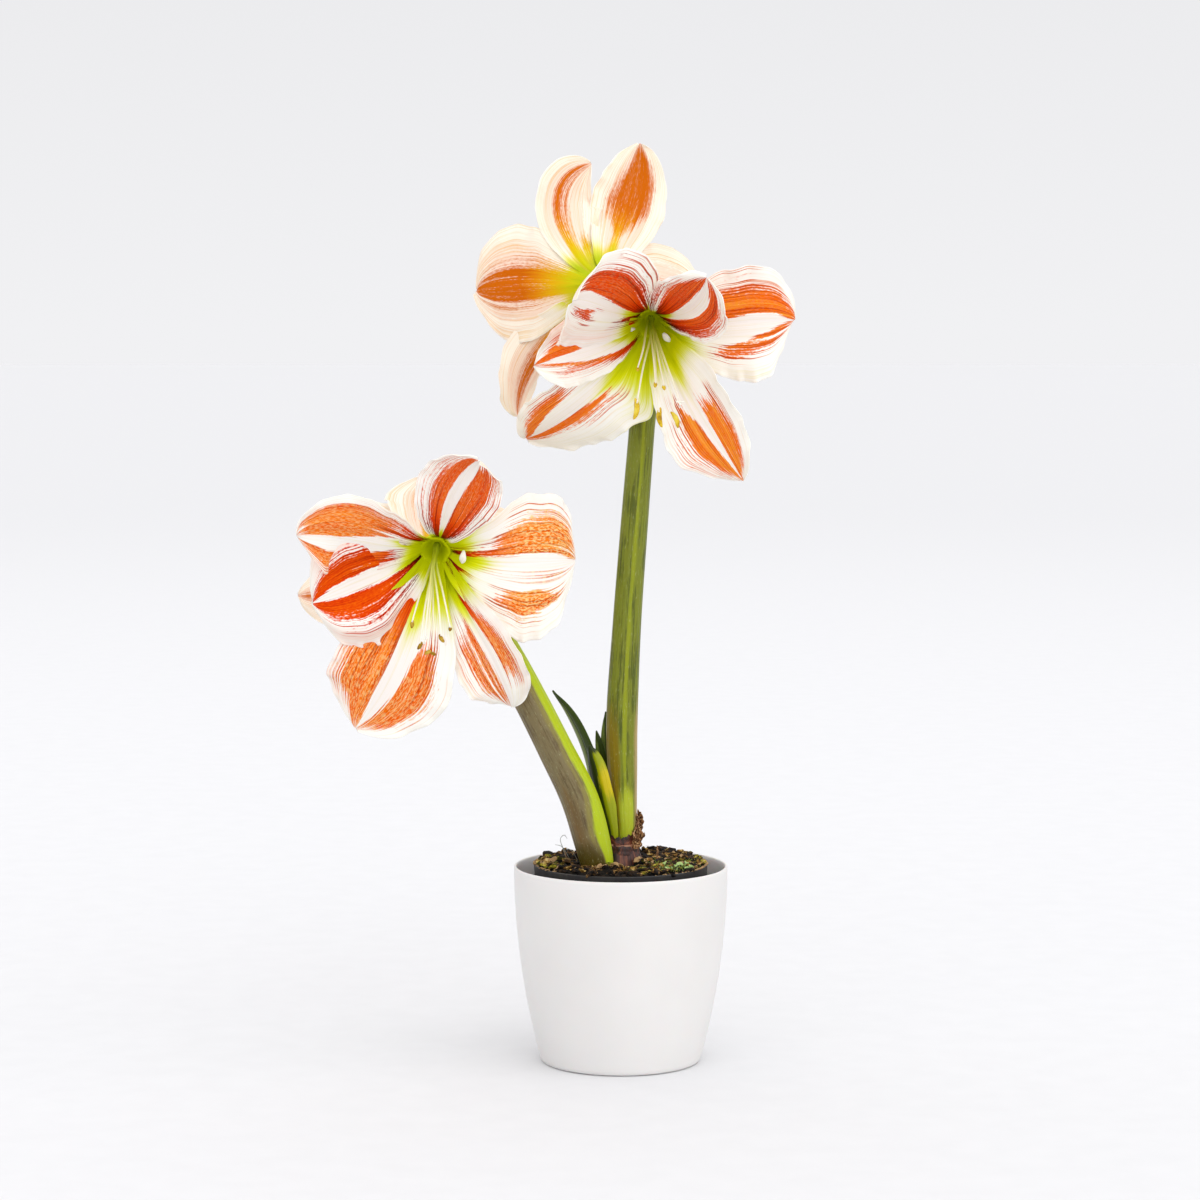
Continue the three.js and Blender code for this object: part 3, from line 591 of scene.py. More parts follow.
def stem_skin(name, base, tints):
    """Fleshy flower stem: waxy skin over long ridges, blotched and streaked, with a colour for each
    of its marks. Its lines are 1 mm apart, its patches 7 mm across and its specks 0.4 mm."""
    made, tree = material(name)
    pattern = grown(tree, [("line", 60, 7, 5), ("patch", 9, 9, 4), ("speck", 160, 60, 2)], 0.6)
    tone = add(tree, "Math", {0: pattern["patch"], 1: pattern["line"]}, give=0, operation="ADD")
    tint = add(tree, "ValToRGB", {0: tone}, list(zip((0.72, 0.92, 1.0), base)), give=0)
    tint = tinted(tree, tint, tints, pattern, patch=0.7, line=0.7)
    specks = add(tree, "MapRange", {0: pattern["speck"], 1: 0.62, 2: 0.72, 3: 0.0, 4: 0.35}, give=0)
    tint = add(tree, "Mix", {0: specks, 6: tint, 7: srgb("#c9cc9c")}, give=2, data_type="RGBA")
    bump = {"Height": pattern["line"], "Strength": 0.3, "Distance": 0.0006}
    bump = add(tree, "Bump", bump, give=0)
    gloss = add(tree, "MapRange", {0: pattern["patch"], 1: 0.3, 2: 0.7, 3: 0.34, 4: 0.5}, give=0)
    surfaced(tree, {
        "Base Color": tint, "Roughness": gloss, "Normal": bump, "Specular IOR Level": 0.22,
        "Subsurface Weight": 0.1, "Subsurface Scale": 0.004,
    })
    return made


def leaf_skin(name, dark, light, warm):
    """Strap leaf: a glossy cuticle over parallel veins, 0.3 mm apart, with patches of 2 mm. It
    reads the leaf's sunny and warm marks."""
    made, tree = material(name)
    pattern = grown(tree, [("vein", 44, 2.4, 5), ("patch", 6, 7, 5)], 0.6)
    tint = tinted(tree, srgb(dark), {"sunny": light, "warm": warm}, pattern, patch=0.9, vein=0.6)
    bump = {"Height": pattern["vein"], "Strength": 0.25, "Distance": 0.0005}
    bump = add(tree, "Bump", bump, give=0)
    gloss = add(tree, "MapRange", {0: pattern["vein"], 1: 0.3, 2: 0.7, 3: 0.22, 4: 0.36}, give=0)
    inputs = {"Base Color": tint, "Roughness": gloss, "Normal": bump, "Specular IOR Level": 0.3}
    surfaced(tree, inputs, 0.12)
    return made


def floor_paper():
    """Matt studio paper, pale and nearly even. Its colour is painted lighter near the pot and greys
    into the distance: painted light, lifting the pot's shadow and fading as the lamps' light does.
    """
    made, tree = material("studio_paper")
    where = add(tree, "TexCoord", give="Object")
    tooth = add(tree, "TexNoise", {"Vector": where, "Scale": 40, "Detail": 2}, give="Fac")
    tint = add(tree, "ValToRGB", {0: tooth}, [(0.3, "#dadadb"), (0.7, "#dcdcdd")], give=0)
    # painted light: lighter within 0.3 m of the middle, greying out to 7 m
    away = add(tree, "VectorMath", {0: where}, give="Value", operation="LENGTH")
    away = add(tree, "MapRange", {0: away, 1: 0.3, 2: 7.0}, give=0, interpolation_type="SMOOTHSTEP")
    tint = add(tree, "Mix", {0: away, 6: tint, 7: srgb("#d2d2d3")}, give=2, data_type="RGBA")
    paper = add(tree, "BsdfDiffuse", {"Color": tint}, give=0)
    add(tree, "OutputMaterial", {"Surface": paper})
    return made


PETAL_MARKS = ("along", "band", "redness", "speckle", "lime", "blush", "rib", "ripe")
WHITE_PLASTIC = white_polypropylene()
BLACK_PLASTIC = black_polypropylene()
PEAT = peat(
    "damp_peat", [(0.38, "#050403"), (0.5, "#130e09"), (0.58, "#2c2015"), (0.68, "#6a4c2c")], 420
)
LUMPS = peat(
    "peat_lumps", [(0.38, "#040302"), (0.49, "#150e08"), (0.57, "#402c18"), (0.65, "#a88048")], 500
)
BARK = peat(
    "composted_bark",
    [(0.4, "#24160a"), (0.48, "#5c3e1a"), (0.55, "#a07c38"), (0.62, "#e2c888")], 300,
)
GREEN_CRUST = peat(
    "algae_on_bark",
    [(0.38, "#14160a"), (0.48, "#44440e"), (0.56, "#8c821c"), (0.64, "#d4c654")], 300,
)
COIR = fibrous("coir_fibre", [(0.3, "#6a4a20"), (0.55, "#a87c38"), (0.8, "#e0c080")], 6, 8)
MOSS = fibrous("moss", [(0.3, "#3e4e10"), (0.5, "#74862a"), (0.75, "#b4c458")], 6, 6, 0.7, 0.25)
YOUNG_MOSS = fibrous(
    "young_moss", [(0.3, "#84ac40"), (0.5, "#b4d07c"), (0.75, "#e4f0c8")], 6, 6, 0.6, 0.3,
)
LITTER = fibrous(
    "dry_litter", [(0.3, "#6e4e2c"), (0.5, "#b08c5c"), (0.75, "#e4cca0")], 8, 5, 0.8, 0.2,
)
HAIR_ROOT = fibrous("dry_hair_root", [(0.3, "#5c6056"), (0.6, "#a8aca0")], 4, 4)
# Its near-black tones are partly the scale's own dark brown and partly painted shade, darkened for
# the shaded foot of the bulb's neck.
SCALE = fibrous(
    "dry_bulb_scale",
    [(0.36, "#0c0402"), (0.47, "#260c06"), (0.57, "#481a0c"), (0.7, "#8c4c2c")], 34, 2.2, 0.5, 0.1,
)
WRAP = fibrous(
    "creased_bulb_wrap",
    [(0.36, "#180a05"), (0.46, "#48200e"), (0.56, "#743418"), (0.68, "#b8784c")], 5, 12, 0.55, 0.12,
)
PALE_SCALE = fibrous(
    "inner_bulb_scale",
    [(0.3, "#7c4630"), (0.5, "#b48064"), (0.75, "#e0b890")], 10, 6, 0.5, 0.25,
)
OLD_LEAF = fibrous(
    "withered_leaf_base",
    [(0.38, "#241006"), (0.46, "#683e1e"), (0.54, "#a87444"), (0.64, "#eac894")], 7, 7, 0.7, 0.2,
)
BRACT = fibrous(
    "withered_bract",
    [(0.3, "#9a6c42"), (0.5, "#cda478"), (0.75, "#ead2ac")], 46, 1.6, 0.75, 0.35,
)
PETAL_FACE = petal_skin("petal_face", back=False)
PETAL_BACK = petal_skin("petal_back", back=True)
FILAMENT = filament_skin()
POLLEN = peat("pollen", [(0.38, "#a2791e"), (0.5, "#d8b426"), (0.62, "#ecd858")], 1500)
OLD_POLLEN = peat("spent_pollen", [(0.38, "#6e4a10"), (0.5, "#a8801e"), (0.62, "#d2b04c")], 1500)
# On the upright stem the stripe colour is a painted highlight.
UPRIGHT_SKIN = stem_skin(
    "upright_stem_skin", ("#434d14", "#585f14", "#70771e"),
    {"stripe": "#828a12", "gold": "#7a6602", "edge": "#a08a54", "foot": "#a2ac24"},
)
# The leaning stem's grey-brown ground is partly painted shade, for its side away from the light;
# its lime stripe is painted light and its dark foot painted shade.
LEANING_SKIN = stem_skin(
    "leaning_stem_skin", ("#564830", "#645638", "#726646"),
    {"gold": "#80763c", "stripe": "#a4b40c", "edge": "#6a5028", "foot": "#483c08"},
)
STALK_SKIN = stem_skin(
    "flower_stalk_skin", ("#7e8c20", "#9aa834", "#b6c24c"),
    {"stripe": "#c2cc3c", "gold": "#a8a838", "edge": "#a0ac58", "foot": "#c2cc3a"},
)
LEAF_SKIN = leaf_skin("strap_leaf_skin", "#3c4c14", "#728238", "#8a8a3a")
PALE_LEAF_SKIN = leaf_skin("young_leaf_skin", "#2a3608", "#98a008", "#ccb808")

# ---- pots ----------------------------------------------------------------------------------------

COVER_HEIGHT = 129
COVER_TOP = 70
COVER_FOOT = 52.4
COVER_WALL = 1.8
COVER_FLOOR = 3
NURSERY_TOP = 130.4
NURSERY_RIM = 57
NURSERY_FOOT = 42
NURSERY_BASE = 3.3
NURSERY_WALL = 1.0
NURSERY_FLOOR = 1.4
DRAINS = 5
DRAIN_RADIUS = 4
DRAIN_RING = 27
SOIL_TOP = 130.6
SOIL_REACH = 54.5  # where scraps lie on the compost, from the pot's axis
BULB_X, BULB_Y = -1.0, 2.0


def cover_radius(height):
    """The cover pot's outside."""
    return COVER_TOP - (COVER_TOP - COVER_FOOT) * (1 - height / COVER_HEIGHT) ** 2


def nursery_radius(height):
    """The nursery pot's outside, below its rim."""
    part = (height - NURSERY_BASE) / (NURSERY_TOP - NURSERY_BASE)
    return NURSERY_FOOT + part * (NURSERY_RIM - 1.6 - NURSERY_FOOT)


def cover_pot():
    """The white cover pot: a thin wall, curved in to a flat foot ring, with a rounded lip."""
    outside = [(cover_radius(z), z) for z in (3.5, 8, 14, 22, 32, 44, 58, 74, 92, 112, 126)]
    inside = [(cover_radius(z) - COVER_WALL, z) for z in (126, 104, 80, 58, 38, 20, 9)]
    profile = [
        (2, 0.6),
        (COVER_FOOT - 7, 0.6),
        (COVER_FOOT - 5.6, 0.0),
        (COVER_FOOT - 1.8, 0.0),
        (cover_radius(0.5) - 0.6, 0.4),
        (cover_radius(1.4), 1.4),
        *outside,
        (COVER_TOP, COVER_HEIGHT - 0.9),
        (COVER_TOP - 0.25, COVER_HEIGHT - 0.25),
        (COVER_TOP - 0.9, COVER_HEIGHT),
        (COVER_TOP - 1.5, COVER_HEIGHT - 0.25),
        (COVER_TOP - COVER_WALL, COVER_HEIGHT - 0.9),
        *inside,
        (cover_radius(COVER_FLOOR) - 5, COVER_FLOOR),
        (2, COVER_FLOOR),
    ]
    pot = turned("cover_pot", profile, 128)
    smooth(pot, 50)
    return dress(pot, WHITE_PLASTIC, slot="white_pot", stands_for="outer_pot")


def nursery_pot():
    """The black nursery pot: thin, flared, with a turned-out rim and drain holes."""
    rim_foot = NURSERY_TOP - 9
    floor_top = NURSERY_BASE + NURSERY_FLOOR
    profile = [
        (2, NURSERY_BASE),
        (nursery_radius(NURSERY_BASE) - 1.2, NURSERY_BASE),
        (nursery_radius(NURSERY_BASE), NURSERY_BASE + 1.2),
        (nursery_radius(60), 60),
        (nursery_radius(rim_foot), rim_foot),
        (NURSERY_RIM - 0.4, rim_foot + 0.6),
        (NURSERY_RIM, NURSERY_TOP - 0.5),
        (NURSERY_RIM - 0.7, NURSERY_TOP),
        (NURSERY_RIM - 1.5, NURSERY_TOP - 0.5),
        (nursery_radius(rim_foot) - NURSERY_WALL, rim_foot - 1),
        (nursery_radius(60) - NURSERY_WALL, 60),
        (nursery_radius(floor_top) - NURSERY_WALL, floor_top),
        (2, floor_top),
    ]
    pot = turned("nursery_pot", profile, 96)
    for i in range(DRAINS):
        turn = i * 2 * math.pi / DRAINS
        x, y = DRAIN_RING * MM * math.cos(turn), DRAIN_RING * MM * math.sin(turn)
        clear_selection()
        bpy.ops.mesh.primitive_cylinder_add(
            vertices=24, radius=DRAIN_RADIUS * MM, depth=6 * MM,
            location=(x, y, (NURSERY_BASE + 1) * MM),
        )
        drain = bpy.context.object
        modify(pot, "BOOLEAN", operation="DIFFERENCE", object=drain, solver="EXACT")
        discard(drain)
    smooth(pot, 40)
    return dress(pot, BLACK_PLASTIC, slot="black_pot", stands_for="inner_pot")


# ---- bulb and compost ----------------------------------------------------------------------------

BULB_SIDE = [
    (0.4, 29.4), (4, 30), (19, 36), (32, 47), (38.5, 65), (38, 84), (31.5, 101), (23, 113),
    (17.5, 123), (15.4, 132),
]
TUNIC_FOOT = 126
SCALE_THICKNESS = 0.35
FLAKE_THICKNESS = 0.4


def round_bulb(r, turn, z):
    """Points at radii and turns round the bulb's axis."""
    return np.stack([BULB_X + r * np.cos(turn), BULB_Y + r * np.sin(turn), z], axis=-1)


def bulb_body():
    """The fleshy bulb itself, down in the compost, with its neck's inside floor."""
    profile = BULB_SIDE + [(12.9, 139), (11.7, 142.2), (11.2, 140.6), (0.4, 140.6)]
    line = np.array(profile, dtype=float)

    def shape(s, t):
        r, z = on_profile(line, s)
        turn = t * math.pi
        return round_bulb(r * (1 + 0.012 * np.sin(7 * turn + z / 20)), turn, z)

    body = smooth(formed("bulb_body", 52, 64, shape, round_it=True), 60)
    return dress(body, SCALE, slot="bulb_scale", stands_for="bulb")


def bulb_roots():
    """Six fleshy roots that spread and sink from the bulb's foot."""
    roots = []
    for i in range(6):
        start = i * math.pi / 3 + 0.4

        def at(radius, z, thick):
            turn = start + z / 90
            return (BULB_X + radius * math.cos(turn), BULB_Y + radius * math.sin(turn), z, thick)

        line = [at(9, 36, 3), at(17, 28, 2.4), at(29, 20, 2.4), at(34, 10, 1.4)]
        roots.append(tube(f"bulb_root_{i}", line, UP, 12, 20,
                          lambda s, turn: 1 + 0.06 * np.sin(40 * s + 2 * turn)))
    roots = smooth(joined("bulb_roots", roots))
    return dress(roots, PALE_SCALE, slot="bulb_scale", stands_for="bulb")


def tunic(name, radius, top, start, span, finish, seed, torn, rise=(0, 0)):
    """One papery scale that wraps the bulb's neck: thin, creased lengthwise, torn along its top,
    which rises from the front towards its left and right sides."""

    def shape(s, t):
        turn = math.radians(start) + t * math.radians(span) / 2
        off_front = (np.degrees(turn) + 270) % 360 - 180
        rises = (rise[0], rise[0], 0, rise[1], rise[1])
        lift = np.interp(off_front, (-110, -40, 8, 60, 110), rises)
        jags = 1.5 * np.sin(3.1 * turn + seed) + 1.1 * np.sin(7.7 * turn + 2 * seed)
        jags = jags + 0.8 * np.sin(17 * turn + seed) + 0.5 * np.sin(31 * turn)
        height = TUNIC_FOOT + s * (top + lift + torn * jags * s - TUNIC_FOOT)
        crease = 0.2 * np.sin(5.3 * turn + seed) + 0.16 * np.sin(13.7 * turn - seed) * s
        crease = crease + 0.12 * np.sin(29 * turn + 4 * s) + 0.1 * np.sin(1.9 * height + 2 * turn)
        return round_bulb(radius - 0.1 * (height - 131) + crease, turn, height)

    piece = formed(name, 22, int(span / 4), shape)
    thickened(piece, SCALE_THICKNESS)
    smooth(piece, 60)
    return dress(piece, finish, slot="bulb_scale", stands_for="bulb")


# An old leaf base in torn flakes: foot, half width, height, direction it faces, and lean outwards.
OLD_FLAKES = [
    ((9.0, -5.5, 141.5), 3.0, 11, -35, 1.5), ((11.2, -3.0, 141), 3.4, 15, 25, 2.5),
    ((11.0, 1.5, 141), 3.8, 22, 10, 1.5), ((12.4, -1.5, 140), 2.6, 10, 60, 4.5),
    ((12.0, 4.0, 141), 3.0, 14, -20, 5.0), ((11.0, -2.5, 150), 2.4, 12, -50, 4.0),
    ((12.5, 0.5, 152), 2.2, 9, 35, 3.5), ((10.2, -6.0, 140.5), 2.0, 6, 15, 3.0),
]


def old_leaf_base():
    """A withered leaf base that stands by the neck: crumpled flakes, each torn along its top."""
    flakes = []
    for i, (foot, half, height, turn, lean) in enumerate(OLD_FLAKES):
        turn = math.radians(turn)
        side = np.array([math.cos(turn), math.sin(turn), 0])
        out = np.array([math.sin(turn), -math.cos(turn), 0])

        def shape(s, t):
            width = half * (1 - 0.5 * s**2) * (1 + 0.25 * np.sin(11 * s + i))
            rows = np.array(foot) + np.outer(t * width, side)
            top = height * (1 + 0.12 * np.sin(5 * t + 2 * i) + 0.06 * np.sin(13 * t))
            rows[:, 2] += s * top
            rows[:, 0] += 0.45 * lean * s**1.5 - 1.2
            crumple = 1.7 * crumpled(rows, 2.6, i, 3) * np.minimum(1, 2 * s)[:, None]
            curl = 1.8 * t * t * s + 0.9 * np.sin(9 * s + 3 * t + i)
            return rows + crumple + np.outer(curl, out)

        flakes.append(formed(f"flake_{i}", 18, 10, shape))
    piece = joined("old_leaf_base", flakes)
    thickened(piece, FLAKE_THICKNESS)
    smooth(piece, 50)
    return dress(piece, OLD_LEAF, slot="bulb_scale", stands_for="bulb")


def heap(x, y, at, size, height):
    """A rounded heap's height at places x, y."""
    return height * np.exp(-(((x - at[0]) / size[0]) ** 2) - ((y - at[1]) / size[1]) ** 2)


def ground_height(x, y):
    """The compost's height: lumpy, with a few heaps and hollows."""
    lump = (
        np.sin(0.31 * x + 1) * np.cos(0.27 * y)
        + 0.6 * np.sin(0.83 * x + 0.61 * y)
        + 0.5 * np.cos(0.71 * y - 0.9 * x)
    )
    heaps = (
        heap(x, y, (-40, 8), (12, 26), 1.8) + heap(x, y, (-8, -34), (18, 8), 1.5)
        + heap(x, y, (36, 28), (20, 16), 1.6) + heap(x, y, (20, -12), (7, 8), 2.2)
        - heap(x, y, (2, -27), (9, 9), 2.2) - heap(x, y, (-26, -22), (9, 9), 1.2)
    )
    return SOIL_TOP + 0.9 * lump + heaps


def compost():
    """The compost as one closed body: its top is crumbly, its hollow fits the bulb."""
    bottom = NURSERY_BASE + NURSERY_FLOOR + 0.3
    hollow = [(r + 0.4, z) for r, z in BULB_SIDE[::-1]]
    top = [(r, SOIL_TOP) for r in np.linspace(51.5, 17, 40)]
    wall = [(nursery_radius(z) - 1.5, z) for z in (bottom, 60, 120)]
    outside = [(0.4, bottom), *wall, (nursery_radius(128) - 2.0, SOIL_TOP - 2)]
    inner = [(15.8, SOIL_TOP - 1)] + hollow[1:]
    line = np.array(outside + top + inner, dtype=float)
    steps = len(line) - 1
    first_top, last_top = len(outside), len(outside) + len(top) - 1

    def shape(s, t):
        place = s * steps
        r, z = on_profile(line, s)
        turn = t * math.pi
        pull = share(place, first_top, last_top)  # rings shift from the pot's axis to the bulb's
        x = BULB_X * pull + r * np.cos(turn)
        y = BULB_Y * pull + r * np.sin(turn)
        on_top = (place > first_top - 0.5) & (place < last_top + 0.5)
        points = np.stack([x, y, z], axis=-1)
        crumbs = 1.3 * rough_noise(points, 5, 2) + 0.9 * rough_noise(points, 2.2, 5)
        points[:, 2] += np.where(on_top, ground_height(x, y) - SOIL_TOP + crumbs, 0)
        return points

    piece = formed("compost", steps, 150, shape, round_it=True)
    smooth(piece, 70)
    return dress(piece, PEAT, slot="compost", stands_for="soil")


def ring_spot():
    """A random place on the compost's top, between the bulb's neck and the pot."""
    radius = math.sqrt(rng.uniform(16.5**2, SOIL_REACH**2))
    turn = rng.uniform(0, 2 * math.pi)
    return spot_on_ground(radius * math.cos(turn), radius * math.sin(turn))


def spot_on_ground(x, y):
    return x, y, float(ground_height(x, y))


def turned_at(x, y, z, size, tilt):
    """A matrix that puts a model at a place in a size, turned and tilted at random."""
    spin = Matrix.Rotation(rng.uniform(0, 6.28), 4, "Z")
    spin = spin @ Matrix.Rotation(rng.uniform(-tilt, tilt), 4, "X")
    return Matrix.Translation((x * MM, y * MM, z * MM)) @ spin @ Matrix.Diagonal((*size, 1))


def crumb_model(name, stretch, seed):
    """An angular crumb about 1 mm across."""
    clear_selection()
    bpy.ops.mesh.primitive_cube_add(size=0.8 * MM)
    piece = adopt(name)
    edit(piece, lambda: bpy.ops.mesh.subdivide(number_cuts=1, smoothness=0.8))
    points = points_of(piece) * np.array(stretch)
    set_points(piece, points + 0.3 * crumpled(points, 0.5, seed))
    return smooth(piece, 30)


def strand_model(name, line, radius, around=4, steps=10):
    """A thin strand along a line, tapered at both ends."""
    stations = [(*point, radius) for point in line]
    for end in (0, -1):
        stations[end] = (*line[end], radius * 0.5)
    return smooth(tube(name, stations, UP, around, steps))


def flake_model(name, seed):
    """A curled flat scrap, 1 mm long."""
    def shape(s, t):
        half = 0.3 * np.sin(math.pi * np.clip(s, 0.06, 0.94)) ** 0.6
        half = half * (1 + 0.2 * np.sin(9 * s + seed))
        bow = 0.22 * np.sin(math.pi * s + seed) + 0.12 * t * t * np.cos(seed)
        return np.stack([s - 0.5, t * half, bow], axis=-1)

    piece = formed(name, 6, 3, shape)
    thickened(piece, 0.06)
    return smooth(piece, 40)


def strewn(name, models, finish, count, sizes, flat, lift, place, tilt=0.5):
    """Many copies of small models on the compost, each in a size from a range. Flat gives a
    model's depth and height as shares of its length."""
    placings = []
    for _ in range(count):
        x, y, z = place()
        size = rng.uniform(*sizes) * rng.uniform(0.6, 1)
        which = int(rng.integers(len(models)))
        scale = (size, size * flat[0], size * flat[1])
        placings.append((which, turned_at(x, y, z + lift, scale, tilt)))
    return dress(scattered(name, models, placings), finish, slot="compost", stands_for="soil")


def around_spots(spots):
    """Random places near one of a few spots, each (x, y, spread along x, spread along y)."""
    def place():
        x, y, wide, deep = spots[int(rng.integers(len(spots)))]
        x, y = rng.normal(x, wide), rng.normal(y, deep)
        inside = min(1, (SOIL_REACH - 0.5) / math.hypot(x, y))
        return spot_on_ground(x * inside, y * inside)
    return place


def on_the_rim():
    """A place on the nursery pot's rim, where dirt has dried on it at both sides."""
    turn = math.radians(rng.normal(0, 26) + (180 if rng.random() < 0.5 else 0))
    radius = NURSERY_RIM - rng.uniform(0.2, 1.6)
    return radius * math.cos(turn), radius * math.sin(turn), NURSERY_TOP


def on_ground():
    """Crumbs, chips, threads, litter and moss that lie on the compost."""
    lumps = [crumb_model("c1", (1.3, 0.9, 0.7), 1), crumb_model("c2", (1, 1, 0.9), 4),
             crumb_model("c3", (1.5, 1.1, 0.6), 9)]
    chips = [crumb_model("c4", (1.7, 0.8, 0.3), 3), crumb_model("c5", (1.2, 1.0, 0.35), 6)]
    threads = [
        strand_model("f1", [(-4, 0, 0), (-1.5, 0.8, 0.7), (1.5, -0.4, 0.4), (4, 0.9, 0)], 0.14),
        strand_model("f2", [(-3, 0, 0), (-1, -1, 0.9), (1, 0.2, 1.1), (3, 1.6, 0.2)], 0.12),
        strand_model("f3", [(-6, 0, 0), (-2, 1.6, 0.8), (2.6, 1.8, 0.9), (6, -0.6, 0.2)], 0.16),
    ]
    shoots = [
        strand_model("m1", [(0, 0, 0), (0.5, 0, 1.2), (1.2, 0.3, 2.2), (1.6, 0.5, 3.0)],
                     0.3, steps=6),
        strand_model("m2", [(0, 0, 0), (-0.3, 0.4, 1), (-0.2, 1.0, 1.8), (0.3, 1.5, 2.3)],
                     0.32, steps=6),
    ]
    scraps = [flake_model(f"s{k}", 2.1 * k) for k in range(3)]
    whole = (1, 0.8)
    strewn("peat_fines", lumps, PEAT, 520, (0.8, 2.4), whole, 0.1, ring_spot)
    strewn("peat_lumps", lumps, LUMPS, 230, (2.4, 7.0), whole, 0.3, ring_spot, 0.9)
    strewn("bark_chips", chips, BARK, 60, (1.6, 5.0), (1, 1), 1.2, ring_spot, 0.9)
    strewn("bark_scraps", scraps, BARK, 90, (2.4, 6.5), (1.2, 1.2), 1.6, ring_spot, 1.2)
    strewn("algae_crumbs", lumps, GREEN_CRUST, 120, (1.2, 3.8), whole, 0.9,
           around_spots([(-44, -10, 5, 12), (30, -10, 12, 14), (44, 4, 6, 12), (18, -34, 8, 6)]))
    strewn("rim_dirt", chips, LITTER, 150, (0.7, 2.2), (1, 1), 0.1, on_the_rim)
    strewn("coir_threads", threads, COIR, 90, (0.5, 1.1), (1, 1), 1.2, ring_spot)
    strewn("dry_litter", scraps, LITTER, 42, (3.0, 9.0), (0.9, 1), 1.8,
           around_spots([(-14, -35, 8, 3), (4, -27, 4, 4), (-38, -16, 6, 8), (17, -14, 4, 4),
                         (32, -4, 14, 10)]), 0.9)
    strewn("moss_shoots", shoots, MOSS, 240, (0.5, 1.0), (1, 1), 0.2,
           around_spots([(30, -34, 7, 4), (42, -28, 4, 4), (38, -8, 8, 6), (26, -16, 6, 6)]), 0.3)
    strewn("young_moss", shoots, YOUNG_MOSS, 90, (0.4, 0.8), (1, 1), 0.6,
           around_spots([(30, -37, 5, 3), (43, -27, 3, 3)]), 0.3)
    strewn("moss_leaves", scraps, YOUNG_MOSS, 26, (3.0, 6.5), (1.2, 1), 2.0,
           around_spots([(29, -38, 6, 3), (43, -28, 3, 3), (36, -20, 7, 5)]), 0.7)
    discard(*lumps, *chips, *threads, *shoots, *scraps)


# Stations, radius and finish of each loose end.
LOOSE_ENDS = {
    "hair_root_1": ([(-33, -2, 132), (-36, -3, 138), (-39, -4, 142), (-43, -4, 143)],
                    0.22, HAIR_ROOT),
    "hair_root_2": ([(-35, -3, 132), (-38, -4, 141), (-39.5, -5, 147), (-37, -5, 149.5),
                     (-35, -5, 147)], 0.2, HAIR_ROOT),
    "hair_root_3": ([(-28, -4, 132), (-32, -5, 139), (-35.5, -5, 141)], 0.2, HAIR_ROOT),
    "dry_stalk": ([(-35, -2, 131), (-36, -2, 136), (-37, -2, 140.5)], 0.75, OLD_LEAF),
    "dry_twig": ([(23.5, -4, 131), (24, -4, 138), (23.8, -4, 142.5)], 0.7, OLD_LEAF),
}


def loose_ends():
    """Dry roots, a stalk and a twig that stand out of the compost."""
    for name, (line, radius, finish) in LOOSE_ENDS.items():
        piece = strand_model(name, line, radius, 8, 24)
        dress(piece, finish, slot="compost", stands_for="soil")


def fallen_bud():
    """A small shrivelled yellow-green bud that lies on the compost."""
    clear_selection()
    bpy.ops.mesh.primitive_uv_sphere_add(segments=24, ring_count=16, radius=MM)
    piece = adopt("fallen_bud")
    points = points_of(piece)
    turn = np.arctan2(points[:, 1], points[:, 0])
    points = points * np.array([3.3, 2.2, 2.0]) * (1 + 0.07 * np.cos(5 * turn))[:, None]
    points += 0.3 * crumpled(points, 1.4, 0)
    x, y, z = spot_on_ground(-8, -29)
    set_points(piece, points + np.array([x, y, z + 1.6]))
    smooth(piece)
    return dress(piece, GREEN_CRUST, slot="compost", stands_for="soil")


# ---- stems ---------------------------------------------------------------------------------------

STEMS = {
    "upright": dict(
        line=[(3.2, -1, 141.3, 4.2), (2.8, -1, 156, 7.2), (1.4, 0, 184, 9.3), (0.7, 0, 222, 10.3),
              (3.9, 2, 286, 9.5), (8.6, 4, 350, 9), (13.6, 7, 414, 8.4), (15.6, 7, 441, 8.6),
              (15.8, 7, 446, 6.4)],
        blooms=("upper_front", "upper_back"),
        bends=([(17.5, 11, 462), (19, 11, 482)], [(12.5, 3, 464), (3, 3.5, 492)]),
        collar=8.8,
        bracts=[((-24, 26, -8), 8), ((25, 24, -14), 7)],
    ),
    "leaning": dict(
        line=[(-14, -20.5, 112, 8), (-15, -20, 130, 10.4), (-18.5, -20, 147, 11.8),
              (-27, -20, 176, 12.3), (-42, -20, 207, 11.7), (-57.5, -20, 238, 11.2),
              (-73.5, -18, 267.5, 10.8), (-87, -15, 290, 10), (-90, -14.6, 295, 7.4)],
        blooms=("lower_front", "lower_back"),
        bends=([(-98, -13, 313), (-109, -10, 339)], [(-99, -8, 306), (-108, 0, 320)]),
        collar=11,
        bracts=[((-12, 32, -16), 8), ((26, 18, 4), 7)],
    ),
}
FRONT = (0, -1, 0)
STALK_END = -2.4  # ahead of a bloom's base
COLLAR_DROP = 9  # below a stem's end
BRACT_THICKNESS = 0.5


def upright_marks(angle, part):
    """A thin pale stripe just right of the front, a painted highlight, a golden left side low down,
    a tan right edge and a pale foot.
    """
    low = 1 - smoothstep(part, 0.2, 0.42)
    return {
        # the pale stripe is a painted highlight down the stem
        "stripe": 0.9 * np.exp(-(((angle - 9) / 9) ** 2)),
        "gold": 0.8 * low * smoothstep(-angle, -8, 25) * (1 - smoothstep(-angle, 95, 140)),
        "edge": 0.9 * np.exp(-(((angle - 70) / 20) ** 2)) * low,
        "foot": (1 - smoothstep(part, 0.06, 0.2)) * np.exp(-(((angle - 12) / 42) ** 2))
        + 0.6 * (1 - smoothstep(part, 0.0, 0.06)),
    }


